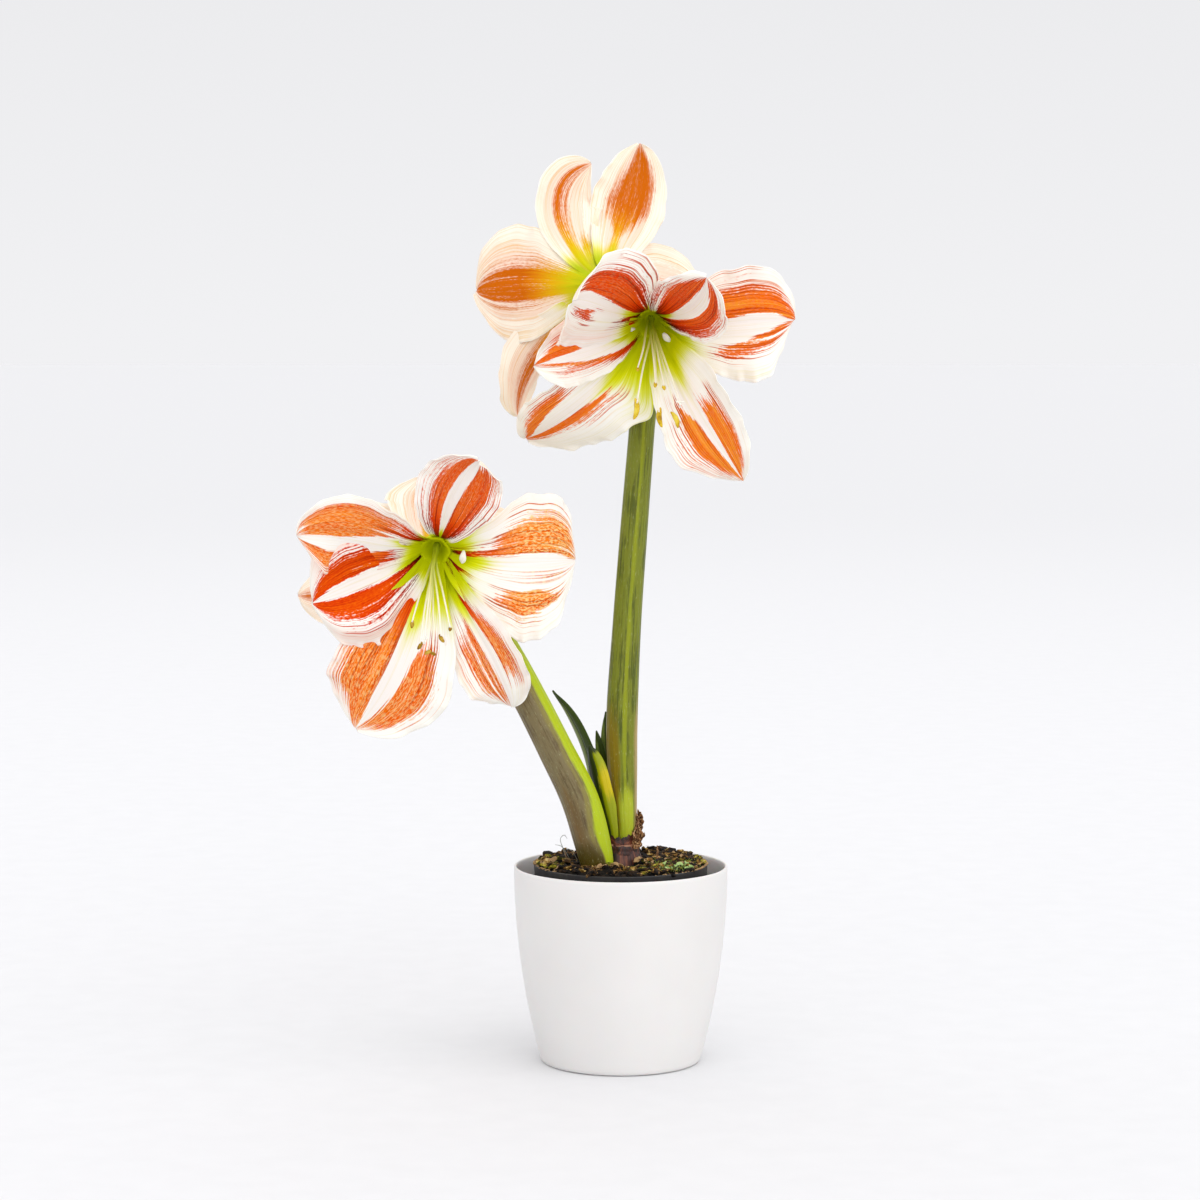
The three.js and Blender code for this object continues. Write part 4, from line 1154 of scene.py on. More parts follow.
def leaning_marks(angle, part):
    """A broad lime side that widens downwards, painted light on the stem's right, with a paler
    border to it, and a foot that is darker on the side away from that light, painted shade.
    """
    start = 30 - 20 * np.exp(-(((part - 0.235) / 0.08) ** 2))
    # lit is the painted light on the stem's right side
    lit = smoothstep(angle, start - 8, start + 22) * (1 - smoothstep(angle, 110, 150))
    return {
        "gold": 0.7 * np.exp(-(((angle - start + 4) / 12) ** 2)),
        "stripe": lit,
        "edge": 0.6 * np.exp(-(((angle + 30) / 30) ** 2)) * (1 - smoothstep(part, 0.3, 0.5)),
        "foot": 0.9 * (1 - smoothstep(part, 0.12, 0.26)) * (1 - lit),
    }


def stem(name, skin, marks):
    """A flower stem: round, faintly ridged. Its marks go by angle from the front, 90 at the right
    side, and by share of its height."""
    line = STEMS[name]["line"]

    def ridges(s, turn):
        fine = 0.010 * np.sin(19 * turn) + 0.007 * np.sin(31 * turn + 1)
        return 1 + fine + 0.02 * np.cos(2 * turn) + 0.01 * np.sin(9 * s)

    piece = tube(f"stem_{name}_skin", line, FRONT, 96, 120, ridges)
    points = points_of(piece)
    heights = points[:, 2]
    middle = smooth_line(line)[0]
    x, y = (points[:, k] - np.interp(heights, middle[:, 2], middle[:, k]) for k in (0, 1))
    angle = np.degrees(np.arctan2(x, -y))
    part = (heights - heights.min()) / np.ptp(heights)
    for key, values in marks(angle, part).items():
        mark(piece, key, values)
    smooth(piece)
    return dress(piece, skin, slot="stem_green", stands_for=f"stem_{name}")


def flower_stalks(name):
    """The two stalks on a stem's end, each swollen to a three-lobed ovary behind its bloom."""
    entry = STEMS[name]
    end = entry["line"][-1]
    for bloom_name, bends in zip(entry["blooms"], entry["bends"]):
        bloom = BLOOMS[bloom_name]
        line = [(end[0], end[1], end[2] - 5, 3.9)]
        line += [(*point, 3.9) for point in bends]
        for behind, radius in ((17, 4.2), (10.5, 6), (4.8, 6), (0, 4.6)):
            line.append((*in_bloom(bloom, STALK_END - behind, 0, 0), radius))

        def lobes(s, turn):
            swollen = smoothstep(s, 0.62, 0.78)
            return 1 + swollen * 0.07 * np.cos(3 * turn) + 0.012 * np.sin(17 * turn)

        stalk = tube(f"flower_stalk_{bloom_name}", line, (1, 0, 0.2), 48, 56, lobes)
        for key in ("stripe", "gold", "edge", "foot"):
            mark(stalk, key, 0.3 if key == "stripe" else 0)
        smooth(stalk)
        dress(stalk, STALK_SKIN, slot="stem_green", stands_for=f"stem_{name}")


def bracts(name):
    """Two withered papery bracts below a pair of blooms, on a collar round the stem's end."""
    entry = STEMS[name]
    stations = np.array(entry["line"], dtype=float)
    top, below = stations[-1, :3], stations[-3, :3]
    along = (top - below) / np.linalg.norm(top - below)
    middle = top - along * COLLAR_DROP
    inner = entry["collar"]

    def collar(s, t):
        turn = t * math.pi
        first = np.cross(along, (0, 1, 0))
        first /= np.linalg.norm(first)
        second = np.cross(along, first)
        r = inner + 0.5 + 0.35 * np.sin(6 * turn) * s + 0.2 * np.sin(19 * turn)
        up = (s - 0.5) * (5 + 0.8 * np.sin(4 * turn))
        return (
            middle
            + first * (r * np.cos(turn))[:, None]
            + second * (r * np.sin(turn))[:, None]
            + along * up[:, None]
        )

    ring = formed(f"bract_collar_{name}", 8, 72, collar)
    edit(ring, merge)
    thickened(ring, BRACT_THICKNESS)
    smooth(ring, 60)
    dress(ring, BRACT, slot="dry_bract", stands_for=f"bracts_{name}")
    for i, (tip, half) in enumerate(entry["bracts"]):
        reach = np.array(tip, dtype=float)
        outward_way = reach - along * (reach @ along)
        outward_way /= np.linalg.norm(outward_way)
        side = np.cross(along, outward_way)
        root = middle + outward_way * (inner + 0.7)
        end = top + reach

        def sheet(s, t):
            width = half * (1 - 0.85 * s**2) * (0.6 + 0.4 * smoothstep(s, 0, 0.2))
            sag = 9 * np.sin(math.pi * s) - 2.5 * t * t * (1 - s) + np.sin(7 * s + 2 * t) * s
            sag = sag + 0.6 * np.sin(21 * s + 3 * t) * np.abs(t)
            inward = -0.35 * half * t * t * (1 - s) + 0.4 * np.sin(9 * t + 4 * s)
            return (
                root + np.outer(s, end - root)
                + np.outer(t * width, side)
                + np.outer(sag, along)
                + np.outer(inward, outward_way)
            )

        piece = formed(f"bract_{name}_{i + 1}", 36, 16, sheet)
        thickened(piece, BRACT_THICKNESS)
        subdivide_smoothly(piece)
        smooth(piece, 60)
        dress(piece, BRACT, slot="dry_bract", stands_for=f"bracts_{name}")


# ---- leaves --------------------------------------------------------------------------------------

# A leaf's spine runs from its foot to its tip, and its keel is the side that its channel faces. It
# is sunny from one place across to another, and warm about a share of its length, by a strength.
LEAVES = {
    "leaf_1": dict(
        spine=[(-7.6, 2.4, 142), (-9.2, 3.2, 152), (-15.5, 6, 176), (-20.5, 7, 197),
               (-27.5, 7, 216), (-35, 6, 230), (-44.8, 5, 243.5)],
        keel=(-0.8, -0.6, 0), half=8, channel=2, blunt=3,
        skin=LEAF_SKIN, sunny=(-0.2, 0.5), warm=(0.3, 0.0)),
    "leaf_2": dict(
        spine=[(-5, -6.5, 142), (-6.6, -8, 153), (-11.4, -9.3, 173), (-15, -9.3, 190),
               (-18.4, -8.6, 202.5), (-20.8, -8, 209)],
        keel=(-0.4, -0.92, 0), half=7, channel=2.6, blunt=7,
        skin=PALE_LEAF_SKIN, sunny=(0.15, -0.25), warm=(0.62, 0.9)),
    "leaf_3": dict(
        spine=[(-3.2, 6.2, 142), (-5.5, 7.4, 152), (-9.7, 9.6, 178), (-13.6, 9.8, 204),
               (-16, 9.6, 216.5)],
        keel=(-0.1, -1, 0), half=5, channel=1.2, blunt=4,
        skin=LEAF_SKIN, sunny=(0.0, 0.6), warm=(0.3, 0.0)),
    "leaf_4": dict(
        spine=[(1.5, 9.5, 142), (0.5, 11.4, 152), (-5.5, 14.5, 184), (-9.5, 15, 210),
               (-9.8, 15, 228.5)],
        keel=(0, -1, 0), half=6, channel=1, blunt=3,
        skin=LEAF_SKIN, sunny=(0.0, 0.6), warm=(0.3, 0.0)),
}
LEAF_THICKNESS = 1.4


def leaf(name, spine, keel, half, channel, blunt, skin, sunny, warm):
    """A channelled strap leaf with a midrib, thinner towards its margins."""
    keel = np.array(keel) / np.linalg.norm(keel)

    def shape(s, t):
        here, _, facing, left = frames_along([(*p, 1) for p in spine], s, keel)
        width = half * np.minimum(1, 0.42 + 1.5 * s) * np.maximum(0.02, 1 - s**blunt) ** 0.75
        depth = -channel * t * t * width / half - 0.5 * np.exp(-((t / 0.14) ** 2))
        ripple = 0.12 * np.sin(14 * t) + 0.3 * np.abs(t) ** 4 * np.sin(16 * s + 2 * t)
        return here - left * (t * width)[:, None] + facing * (depth + ripple)[:, None]

    piece = formed(name + "_blade", 48, 14, shape)
    s, t = marked(piece, "along"), marked(piece, "across")
    place, strength = warm
    glow = strength * np.exp(-(((s - place) / 0.16) ** 2))
    mark(piece, "sunny", smoothstep(t, *sunny) * (1 - smoothstep(s, 0.86, 0.97)))
    mark(piece, "warm", glow * share(-t, -0.2, 0.5))
    thick = piece.vertex_groups.new(name="thick")
    for i, across in enumerate(t):
        thick.add([i], float(0.35 + 0.65 * (1 - across * across)), "REPLACE")
    thickened(piece, LEAF_THICKNESS, vertex_group="thick", thickness_vertex_group=0.1)
    subdivide_smoothly(piece)
    smooth(piece)
    return dress(piece, skin, slot="leaf_green", stands_for=name)


# ---- blooms --------------------------------------------------------------------------------------

# A bloom's heading turns its face from -Y towards +X, and its pitch lifts the face. A petal goes by
# its angle round the bloom's axis; its opening is its angle to the axis at the tip; lean and hook
# bend it sideways. Its bands are painted between two edges across the blade, given as
# (share along, near edge, far edge), with a strength below 1 where they are only streaks: one for
# the whole band or one for each of its places. A bulge widens one side of a petal about a place.
USUAL_BAND = [(0.05, 0.04, 0.2), (0.2, 0.07, 0.45), (0.5, 0.13, 0.58), (0.8, 0.14, 0.55),
              (0.97, 0.04, 0.3)]
USUAL_RIB = [(0.05, -0.22, 0.22), (0.5, -0.24, 0.24), (0.85, -0.2, 0.2), (0.98, -0.1, 0.1)]
USUAL_PETAL = dict(
    lean=0, twist=0, cup=0.3, curl=0, hook=0, flare=0, margins=(1, 1), bulge=(0, 0),
    redness=0.3, lime=0.3, blush=(0.2, 0.2), speckle=0.1, rib=[(USUAL_RIB, 0.9)],
    bands=[(USUAL_BAND, 1), ([(s, -near, -far) for s, near, far in USUAL_BAND], 1)],
)
# Anthers are (ahead, above, aside, half length, turn), a style is (ahead, above, aside), and the
# throat's scales are (ahead, above, aside, length, turn).
USUAL_BLOOM = dict(
    anthers=[(74 - 6 * (i % 2), -38.5 + 3.7 * (i % 2), 5.2 * (i - 2.5), 5.2, 3 * i)
             for i in range(6)],
    style=(92, -22, 0),
    throat=(),
)

BLOOMS = {
    "upper_front": dict(
        base=(19, -22, 486), heading=0, pitch=-22, ease=0.9, pollen=POLLEN,
        anthers=[(74, -27, -9.5, 6.8, 4), (74, -33, 4.3, 6.4, -4), (74, -34.5, 15, 5.8, -24),
                 (60, -9, -9, 1.6, 20), (66, -17, 2, 1.8, 0), (68, -18, 7.3, 1.8, -10)],
        style=(84, -22, 17), throat=[(16, -1.2, -14.2, 8, 3), (20, -5.4, 10, 8.4, -50)],
        petals=[
            dict(angle=133, length=112, opening=58, half=38, twist=-6, cup=0, curl=-55, hook=20,
                 margins=(1.1, 1), redness=0.42, lime=0.3, blush=(0.0, 0.7), bands=[
                ([(0.05, -0.02, -0.45), (0.25, -0.04, -0.55), (0.5, -0.08, -0.6),
                  (0.75, -0.14, -0.6), (0.88, -0.2, -0.5)], 1),
                ([(0.12, -0.5, -0.85), (0.4, -0.58, -0.9), (0.72, -0.58, -0.85)], 0.3),
                ([(0.05, 0.05, 0.3), (0.2, 0.1, 0.4), (0.28, 0.15, 0.35)], 0.9),
                ([(0.66, 0.1, 0.36), (0.8, 0.2, 0.3)], 0.8)]),
            dict(angle=48, length=108, opening=54, half=27, lean=20, twist=30, cup=0.4, hook=20,
                 redness=0.4, lime=0.22, blush=(0.0, 0.2), bands=[
                ([(0.04, 0.0, 0.45), (0.2, 0.02, 0.62), (0.5, 0.1, 0.7), (0.8, 0.1, 0.66),
                  (0.97, 0.02, 0.35)], 1),
                ([(0.15, 0.6, 0.9), (0.5, 0.7, 0.92), (0.8, 0.66, 0.85)], 0.4),
                ([(0.05, -0.1, -0.5), (0.2, -0.2, -0.68), (0.5, -0.26, -0.72), (0.8, -0.28, -0.68),
                  (0.96, -0.15, -0.45)], 1),
                ([(0.2, -0.62, -0.9), (0.5, -0.68, -0.98), (0.78, -0.62, -0.9)], 0.5)]),
            dict(angle=9, length=102, opening=132, half=39, twist=8, cup=0.1, hook=-25,
                 redness=0.12, lime=0.36, blush=(0.0, 0.2), bands=[
                ([(0.12, 0.05, 0.3), (0.4, 0.08, 0.6), (0.52, 0.1, 0.62), (0.6, 0.14, 0.58),
                  (0.7, 0.16, 0.56), (0.85, 0.15, 0.56), (0.98, 0.05, 0.35)], 1),
                ([(0.5, 0.55, 0.85), (0.66, 0.65, 0.92)], 0.36),
                ([(0.48, -0.38, -0.56), (0.6, -0.3, -0.52), (0.7, -0.24, -0.44),
                  (0.85, -0.12, -0.38), (0.98, -0.01, -0.15)], 0.78)]),
            dict(angle=-53, length=127, opening=74, half=30, twist=-30, cup=0.5,
                 redness=0.08, lime=0.36, blush=(0.0, 0.0), bands=[
                ([(0.52, -0.3, -0.42), (0.62, -0.18, -0.52), (0.78, -0.1, -0.56),
                  (0.9, -0.05, -0.45), (0.99, -0.01, -0.15)], 1),
                ([(0.6, -0.5, -0.72), (0.8, -0.55, -0.88), (0.95, -0.4, -0.75)], 0.42),
                ([(0.58, 0.1, 0.5), (0.7, 0.08, 0.52), (0.82, 0.06, 0.56), (0.93, 0.04, 0.42),
                  (0.99, 0.01, 0.1)], 1)]),
            dict(angle=-129, length=124, opening=136, half=35, lean=-24, twist=30, cup=0, curl=-10,
                 hook=10, margins=(0.85, 1), bulge=(0.45, 0.36), redness=0.1, lime=0.4,
                 blush=(0.0, 0.0), bands=[
                ([(0.6, -0.5, -0.74), (0.75, -0.42, -0.7), (0.88, -0.24, -0.6),
                  (0.98, -0.02, -0.3)], 0.95),
                ([(0.44, 0.08, 0.24), (0.6, 0.03, 0.27), (0.75, -0.02, 0.22), (0.9, 0.0, 0.22),
                  (0.99, -0.02, 0.15)], 0.9)]),
            dict(angle=-171, length=97, opening=74, half=24, lean=-16, twist=-10, cup=0.1, curl=-10,
                 hook=10, margins=(1.05, 0.85), redness=0.16, lime=0.32, blush=(0.9, 0.0), bands=[
                ([(0.15, -0.42, -0.72), (0.22, -0.45, -0.68), (0.28, -0.5, -0.62)], 1),
                ([(0.38, -0.26, -0.4), (0.55, -0.18, -0.44), (0.7, -0.13, -0.54),
                  (0.85, -0.1, -0.54), (0.98, -0.02, -0.25)], 1),
                ([(0.2, 0.7, 0.92), (0.33, 0.52, 0.78), (0.5, 0.33, 0.52), (0.7, 0.2, 0.38),
                  (0.85, 0.1, 0.27), (0.99, 0.01, 0.1)], 1),
                ([(0.55, 0.45, 0.66), (0.78, 0.42, 0.62)], 0.3)]),
        ],
    ),
    "upper_back": dict(
        base=(-11, 34, 508), heading=199, pitch=-4, ease=0.8, pollen=POLLEN,
        petals=[
            dict(angle=124, length=119, opening=110, half=26, lean=-16, cup=0, hook=-20,
                 rib=[([(0.2, -0.1, 0.1), (0.42, -0.16, 0.1), (0.52, -0.42, 0.3),
                        (0.62, -0.52, 0.5), (0.78, -0.4, 0.55), (0.9, -0.22, 0.45),
                        (0.98, -0.15, 0.2)], 1)]),
            dict(angle=65, length=115, opening=98, half=24, lean=32, cup=-0.3, curl=10, hook=75,
                 margins=(0.7, 1.25),
                 rib=[([(0.1, -0.2, 0.22), (0.5, -0.2, 0.16), (0.75, -0.16, 0.16),
                        (0.94, -0.1, 0.12)], 1),
                      ([(0.24, 0.3, 0.95), (0.31, 0.28, 0.9), (0.35, 0.4, 0.8)], 1)]),
            dict(angle=5, length=97, opening=60, half=36, lean=-8, cup=0.2, curl=-45,
                 margins=(1.05, 1.2),
                 rib=[([(0.02, -0.5, 0.6), (0.3, -0.35, 0.5), (0.6, -0.3, 0.4),
                        (0.85, -0.3, 0.3), (0.99, -0.2, 0.2)], 1)]),
            dict(angle=-53, length=118, opening=78, half=22, lean=-6, twist=30, cup=0.9, hook=-35),
            dict(angle=-118, length=108, opening=54, half=30, hook=15),
            dict(angle=180, length=110, opening=88, half=34, lean=4, hook=10),
        ],
    ),
    "lower_front": dict(
        base=(-117.4, -45, 342), heading=-8, pitch=-22, ease=0.6, pollen=OLD_POLLEN,
        anthers=[(76, -31, 0.3, 2.8, 30), (76, -35.6, 4.7, 2.4, 60), (70, -40, 6.7, 2.0, -70),
                 (72, -27.7, 13.1, 3.0, -30), (66, -25, 18, 1.4, 0), (60, -24.4, -7.2, 2.6, 10)],
        style=(82, -24, 5), throat=[(16, -0.4, 19.5, 9.4, 80)],
        petals=[
            dict(angle=68, length=115, opening=86, half=28, twist=-8, cup=0, curl=-55, hook=-20,
                 margins=(1, 0.9), redness=0.32, lime=0.16, blush=(0.1, 0.2), speckle=0.15,
                 bands=[
                ([(0.08, 0.08, 0.4), (0.25, 0.14, 0.52), (0.5, 0.17, 0.5), (0.75, 0.14, 0.5),
                  (0.96, 0.04, 0.4)], 1),
                ([(0.2, 0.56, 0.95), (0.5, 0.56, 1.0), (0.88, 0.55, 0.95)], 0.3),
                ([(0.08, -0.12, -0.5), (0.25, -0.1, -0.68), (0.5, -0.12, -0.62),
                  (0.72, -0.16, -0.76), (0.88, -0.25, -0.78)], 0.95),
                ([(0.2, -0.7, -0.95), (0.5, -0.68, -0.95), (0.66, -0.76, -0.95)], 0.3)]),
            dict(angle=-8, length=101, opening=150, half=47, twist=26, cup=0, hook=-25,
                 margins=(1.1, 1), redness=0.08, lime=0.3, blush=(0.08, 0.2), speckle=0.6, bands=[
                ([(0.12, 0.03, 0.25), (0.25, 0.1, 0.24), (0.36, 0.12, 0.34), (0.48, 0.13, 0.68),
                  (0.7, 0.16, 0.74), (0.88, 0.12, 0.72), (0.98, 0.04, 0.4)],
                 (1, 0.9, 0.6, 0.62, 0.8, 0.8, 0.6)),
                ([(0.44, -0.38, -0.56), (0.56, -0.32, -0.7), (0.7, -0.3, -0.68),
                  (0.8, -0.36, -0.52)], 0.75),
                ([(0.36, -0.1, -0.2), (0.92, -0.1, -0.2)], 0.1),
                ([(0.1, -0.3, -0.55), (0.17, -0.34, -0.55)], 1)]),
            dict(angle=-58, length=120, opening=108, half=25, lean=-8, cup=0.5, curl=10, hook=-20,
                 margins=(1, 0.9), redness=0.22, lime=0.36, blush=(0.3, 0.3), speckle=0.4, bands=[
                ([(0.42, -0.12, -0.34), (0.55, -0.08, -0.62), (0.7, -0.05, -0.66),
                  (0.85, -0.03, -0.6), (0.95, 0.0, -0.3)], 0.62),
                ([(0.28, 0.06, 0.22), (0.45, 0.2, 0.54), (0.6, 0.24, 0.64), (0.73, 0.24, 0.58)],
                 0.85)]),
            dict(angle=-107, length=134, opening=102, half=40, lean=-16, twist=4, cup=0.2, curl=-15,
                 hook=-10, redness=0.2, lime=0.36, blush=(0.6, 0.0), speckle=0.4, bands=[
                ([(0.2, -0.06, -0.5), (0.35, -0.13, -0.8), (0.55, -0.15, -0.84), (0.8, -0.14, -0.8),
                  (0.97, -0.04, -0.45)], 0.95),
                ([(0.46, 0.3, 0.55), (0.56, 0.22, 0.7), (0.72, 0.16, 0.74), (0.88, 0.12, 0.62),
                  (0.97, 0.08, 0.35)], 0.85)]),
            dict(angle=-164, length=88, opening=68, half=39, lean=-10, cup=0.55, curl=5,
                 flare=13, margins=(1.3, 1.15), redness=0.36, lime=0.24, blush=(1.0, 0.7),
                 speckle=0.0, bands=[
                ([(0.1, -0.2, -0.5), (0.25, -0.26, -0.54), (0.45, -0.22, -0.54),
                  (0.65, -0.18, -0.54), (0.85, -0.18, -0.56), (0.97, -0.1, -0.45)], 1),
                ([(0.2, -0.54, -0.8), (0.42, -0.54, -0.8), (0.66, -0.56, -0.7)], 0.36),
                ([(0.1, 0.06, 0.26), (0.3, 0.07, 0.32), (0.5, 0.06, 0.38), (0.7, 0.04, 0.42),
                  (0.9, 0.03, 0.38), (0.98, 0.0, 0.28)], 1),
                ([(0.22, 0.3, 0.56), (0.5, 0.4, 0.58), (0.76, 0.44, 0.56)], 0.42)]),
            dict(angle=143, length=104, opening=74, half=40, cup=0.1, hook=50, margins=(0.66, 0.8),
                 redness=0.16, lime=0.26, blush=(0.1, 0.7), speckle=0.35, bands=[
                ([(0.12, -0.3, -0.8), (0.22, -0.3, -0.75), (0.38, -0.12, -0.8), (0.55, 0.04, -0.72),
                  (0.72, 0.12, -0.72), (0.94, 0.1, -0.66)], (1, 0.8, 0.5, 0.8, 0.95, 0.9)),
                ([(0.3, 0.3, 0.7), (0.5, 0.45, 0.85), (0.8, 0.5, 0.92), (0.96, 0.4, 0.8)], 0.85)]),
        ],
    ),
    "lower_back": dict(
        base=(-124, 36, 321.5), heading=204, pitch=-8, ease=0.8, pollen=OLD_POLLEN,
        petals=[
            dict(angle=-16, length=105, opening=50, half=25, lean=8, cup=0.4, hook=15),
            dict(angle=49, length=106, opening=46, half=30),
            dict(angle=118, length=106, opening=56, half=32, hook=-15),
            dict(angle=164, length=106, opening=98, half=30),
            dict(angle=-156, length=106, opening=78, half=32, lean=4, hook=30),
            dict(angle=-93, length=103, opening=62, half=28, lean=4, hook=40),
        ],
    ),
}
CLAW_RADII = (6.2, 4.6)
TUBE_OPENING = 20
TUBE_MARKS = {"band": -1, "rib": -1, "redness": 0.5, "lime": 0.8}
MIDRIB_STEPS = 72
FRONT_GRID = (54, 32)  # rows along a petal and columns across it
BACK_GRID = (42, 24)
PETAL_THICKNESS = 0.6
THROAT_THICKNESS = 0.4
# Ahead of the style's end, out from it, and radius, along each lobe of the stigma.
STIGMA_LOBE = [(-0.6, 0, 0.7), (1.2, 0.8, 0.65), (2.0, 2.0, 0.5), (2.1, 3.0, 0.3)]


def bloom_axes(bloom):
    """The ways forward, up and right of a bloom."""
    turn, lift = math.radians(bloom["heading"]), math.radians(bloom["pitch"])
    level = math.cos(lift)
    forward = np.array([math.sin(turn) * level, -math.cos(turn) * level, math.sin(lift)])
    up = np.array(UP) - forward * forward[2]
    up /= np.linalg.norm(up)
    return forward, up, np.cross(up, forward)


def round_axis(bloom, turn):
    """The way out from a bloom's axis at a turn round it, and the way on round it."""
    _, up, right = bloom_axes(bloom)
    cos, sin = math.cos(turn), math.sin(turn)
    return right * cos + up * sin, up * cos - right * sin


def in_bloom(bloom, ahead, above, aside):
    """A place given by a bloom's own axes."""
    forward, up, right = bloom_axes(bloom)
    return np.array(bloom["base"]) + forward * ahead + up * above + right * aside


def swung(a, b, degrees):
    """From a towards b by each angle. Both are one direction, or rows of them."""
    turn = np.radians(degrees)[:, None]
    return a * np.cos(turn) + b * np.sin(turn)


def midrib(bloom, petal, claw):
    """Rows of place, direction across, direction of the face, and distance from the axis."""
    forward = bloom_axes(bloom)[0]
    out, side = round_axis(bloom, math.radians(petal["angle"]))
    s = np.linspace(0, 1, MIDRIB_STEPS + 1)
    opening = TUBE_OPENING + (petal["opening"] - TUBE_OPENING) * s ** bloom["ease"]
    opening = opening + petal["curl"] * share(s, 0.7, 1) ** 2
    sweep = petal["lean"] * s**1.5 + petal["hook"] * share(s, 0.45, 1) ** 1.5
    spoke, flank = swung(out, side, sweep), swung(side, -out, sweep)
    along = swung(forward, spoke, opening)
    face = swung(-spoke, forward, opening)
    steps = (along[1:] + along[:-1]) * petal["length"] / MIDRIB_STEPS / 2
    base = np.array(bloom["base"])
    at = base + out * claw + np.vstack([np.zeros(3), np.cumsum(steps, axis=0)])
    twist = petal["twist"] * s**1.3
    from_base = at - base
    reach = np.linalg.norm(from_base - np.outer(from_base @ forward, forward), axis=1)
    across, normal = swung(flank, -face, twist), swung(face, flank, twist)
    return s, np.hstack([at, across, normal, reach[:, None]])


def petal_outline(s):
    """A petal's half width along it, as a share of its widest: a claw, then a pointed oval."""
    return 0.12 * (1 - s) ** 6 + np.sin(math.pi * np.minimum(s, 0.999) ** 1.7) ** 0.6


def petal_surface(bloom, petal, claw, phase):
    """A petal's shape about its midrib. Its phase gives it waves and frills of its own."""
    rib_s, rows = midrib(bloom, petal, claw)

    def shape(s, t):
        here = at_shares(rows, rib_s, s)
        at, across, normal, reach = here[:, :3], here[:, 3:6], here[:, 6:9], here[:, 9]
        # a slightly uneven outline
        notch = 1 + 0.012 * np.sin(23 * s + phase + t) + 0.01 * np.sin(41 * s + 2 * phase)
        half = np.minimum(petal["half"] * petal_outline(s) * notch, reach)
        opened = smoothstep(s, 0.12, 0.52)
        bend = (1 - opened) / reach + opened * petal["cup"] / petal["half"] + 1e-6
        arc = t * half * np.where(t > 0, petal["margins"][1], petal["margins"][0])
        wider, where = petal["bulge"]
        arc *= 1 + wider * (t > 0) * np.exp(-(((s - where) / 0.1) ** 2))
        free = share(s, 0.25, 0.55)
        wave = 2.9 * np.abs(t) ** 2.5 * free * np.sin(
            2 * math.pi * 2.3 * s + phase + np.where(t > 0, 1.7, 0))
        # frills along the margin, the midrib's groove and soft ribs between the veins
        frill = 1.15 * np.abs(t) ** 6 * free * np.sin(2 * math.pi * 8.3 * s + 2 * phase + 2.5 * t)
        frill += 0.55 * np.abs(t) ** 9 * free * np.sin(2 * math.pi * 17.1 * s + 3 * phase)
        groove = -0.75 * np.exp(-((t / 0.07) ** 2)) * (1 - s) ** 0.6
        groove += 0.30 * (np.exp(-(((np.abs(t) - 0.14) / 0.05) ** 2))) * (1 - s) ** 0.6
        ribs = 0.10 * np.sin(26 * t + 3 * np.sin(4 * s + phase)) * smoothstep(s, 0.1, 0.4)
        swell = 0.7 * np.sin(5.1 * s + 2.3 * t + phase) * np.sin(3.7 * t - 2 * s + phase) * free
        flare = -petal["flare"] * smoothstep(np.abs(t), 0.55, 1) * free
        lift = (1 - np.cos(bend * arc)) / bend + wave + frill + groove + ribs + swell + flare
        return at + across * (np.sin(bend * arc) / bend)[:, None] + normal * lift[:, None]

    return shape


def edges_at(s, edges):
    """A painted band's two edges across the petal, and how far each place is inside its ends."""
    stops, near, far = (np.array(column) for column in zip(*edges))
    return np.interp(s, stops, near), np.interp(s, stops, far), s - stops[0], stops[-1] - s


def band_field(s, t, bands):
    """How deep inside a painted band each place lies: 1 well inside, falling below 0 outside. The
    near edge is crisp and the far edge is feathered, as the pigment follows the veins."""
    field = np.full(len(s), -1.2)
    for edges, strength in bands:
        near, far, begun, left = edges_at(s, edges)
        full = np.interp(s, [edge[0] for edge in edges], np.broadcast_to(strength, len(edges)))
        way = np.sign(far - near)
        inside = np.minimum((t - near) * way / 0.04, (far - t) * way / 0.25 + 0.25)
        lengthwise = np.minimum(begun / 0.1 + 0.25, left / 0.1 + 0.5)
        here = np.clip(np.minimum(inside, lengthwise), -1.2, 1)
        here = np.where(here > 0, here * full, here) - (1 - full) * 0.55
        field = np.maximum(field, here)
    return field


def rib_field(s, t, ribs):
    """How deep inside the coloured rib on its back each place lies, from -1 to 1."""
    field = np.full(len(s), -1.0)
    for edges, strength in ribs:
        near, far, begun, left = edges_at(s, edges)
        depth = np.minimum(t - near, far - t) / 0.2 + 0.3
        ends = np.minimum(begun / 0.12 + 0.2, left / 0.08 + 0.6)
        field = np.maximum(field, np.clip(np.minimum(depth, ends), -1, 1) * strength)
    return field


def paint_petal(piece, petal):
    """Marks a petal for its skin: bands and ribs, and how lime, red and pink each place is."""
    s, t = marked(piece, "along"), marked(piece, "across")
    mark(piece, "band", band_field(s, t, petal["bands"]))
    mark(piece, "rib", rib_field(s, t, petal["rib"]))
    mark(piece, "ripe", share(s, 0.1, 0.8))
    mark(piece, "speckle", petal["speckle"] * smoothstep(s, 0.3, 0.65))
    coolest = petal["redness"]
    mark(piece, "redness", coolest + (0.9 - coolest) * (1 - share(s, 0.08, 0.46)) ** 1.3)
    edge = petal["lime"] + 0.14 * np.exp(-((t / 0.2) ** 2))
    mark(piece, "lime", 0.85 * (1 - smoothstep(s, edge * 0.25, edge * 1.25)) - 0.06)
    pink = np.where(t < 0, *petal["blush"]) * smoothstep(np.abs(t), 0.35, 0.8)
    pink = pink * smoothstep(s, 0.2, 0.4)
    mark(piece, "blush", 1.2 * pink * (1 - smoothstep(s, 0.85, 1)))


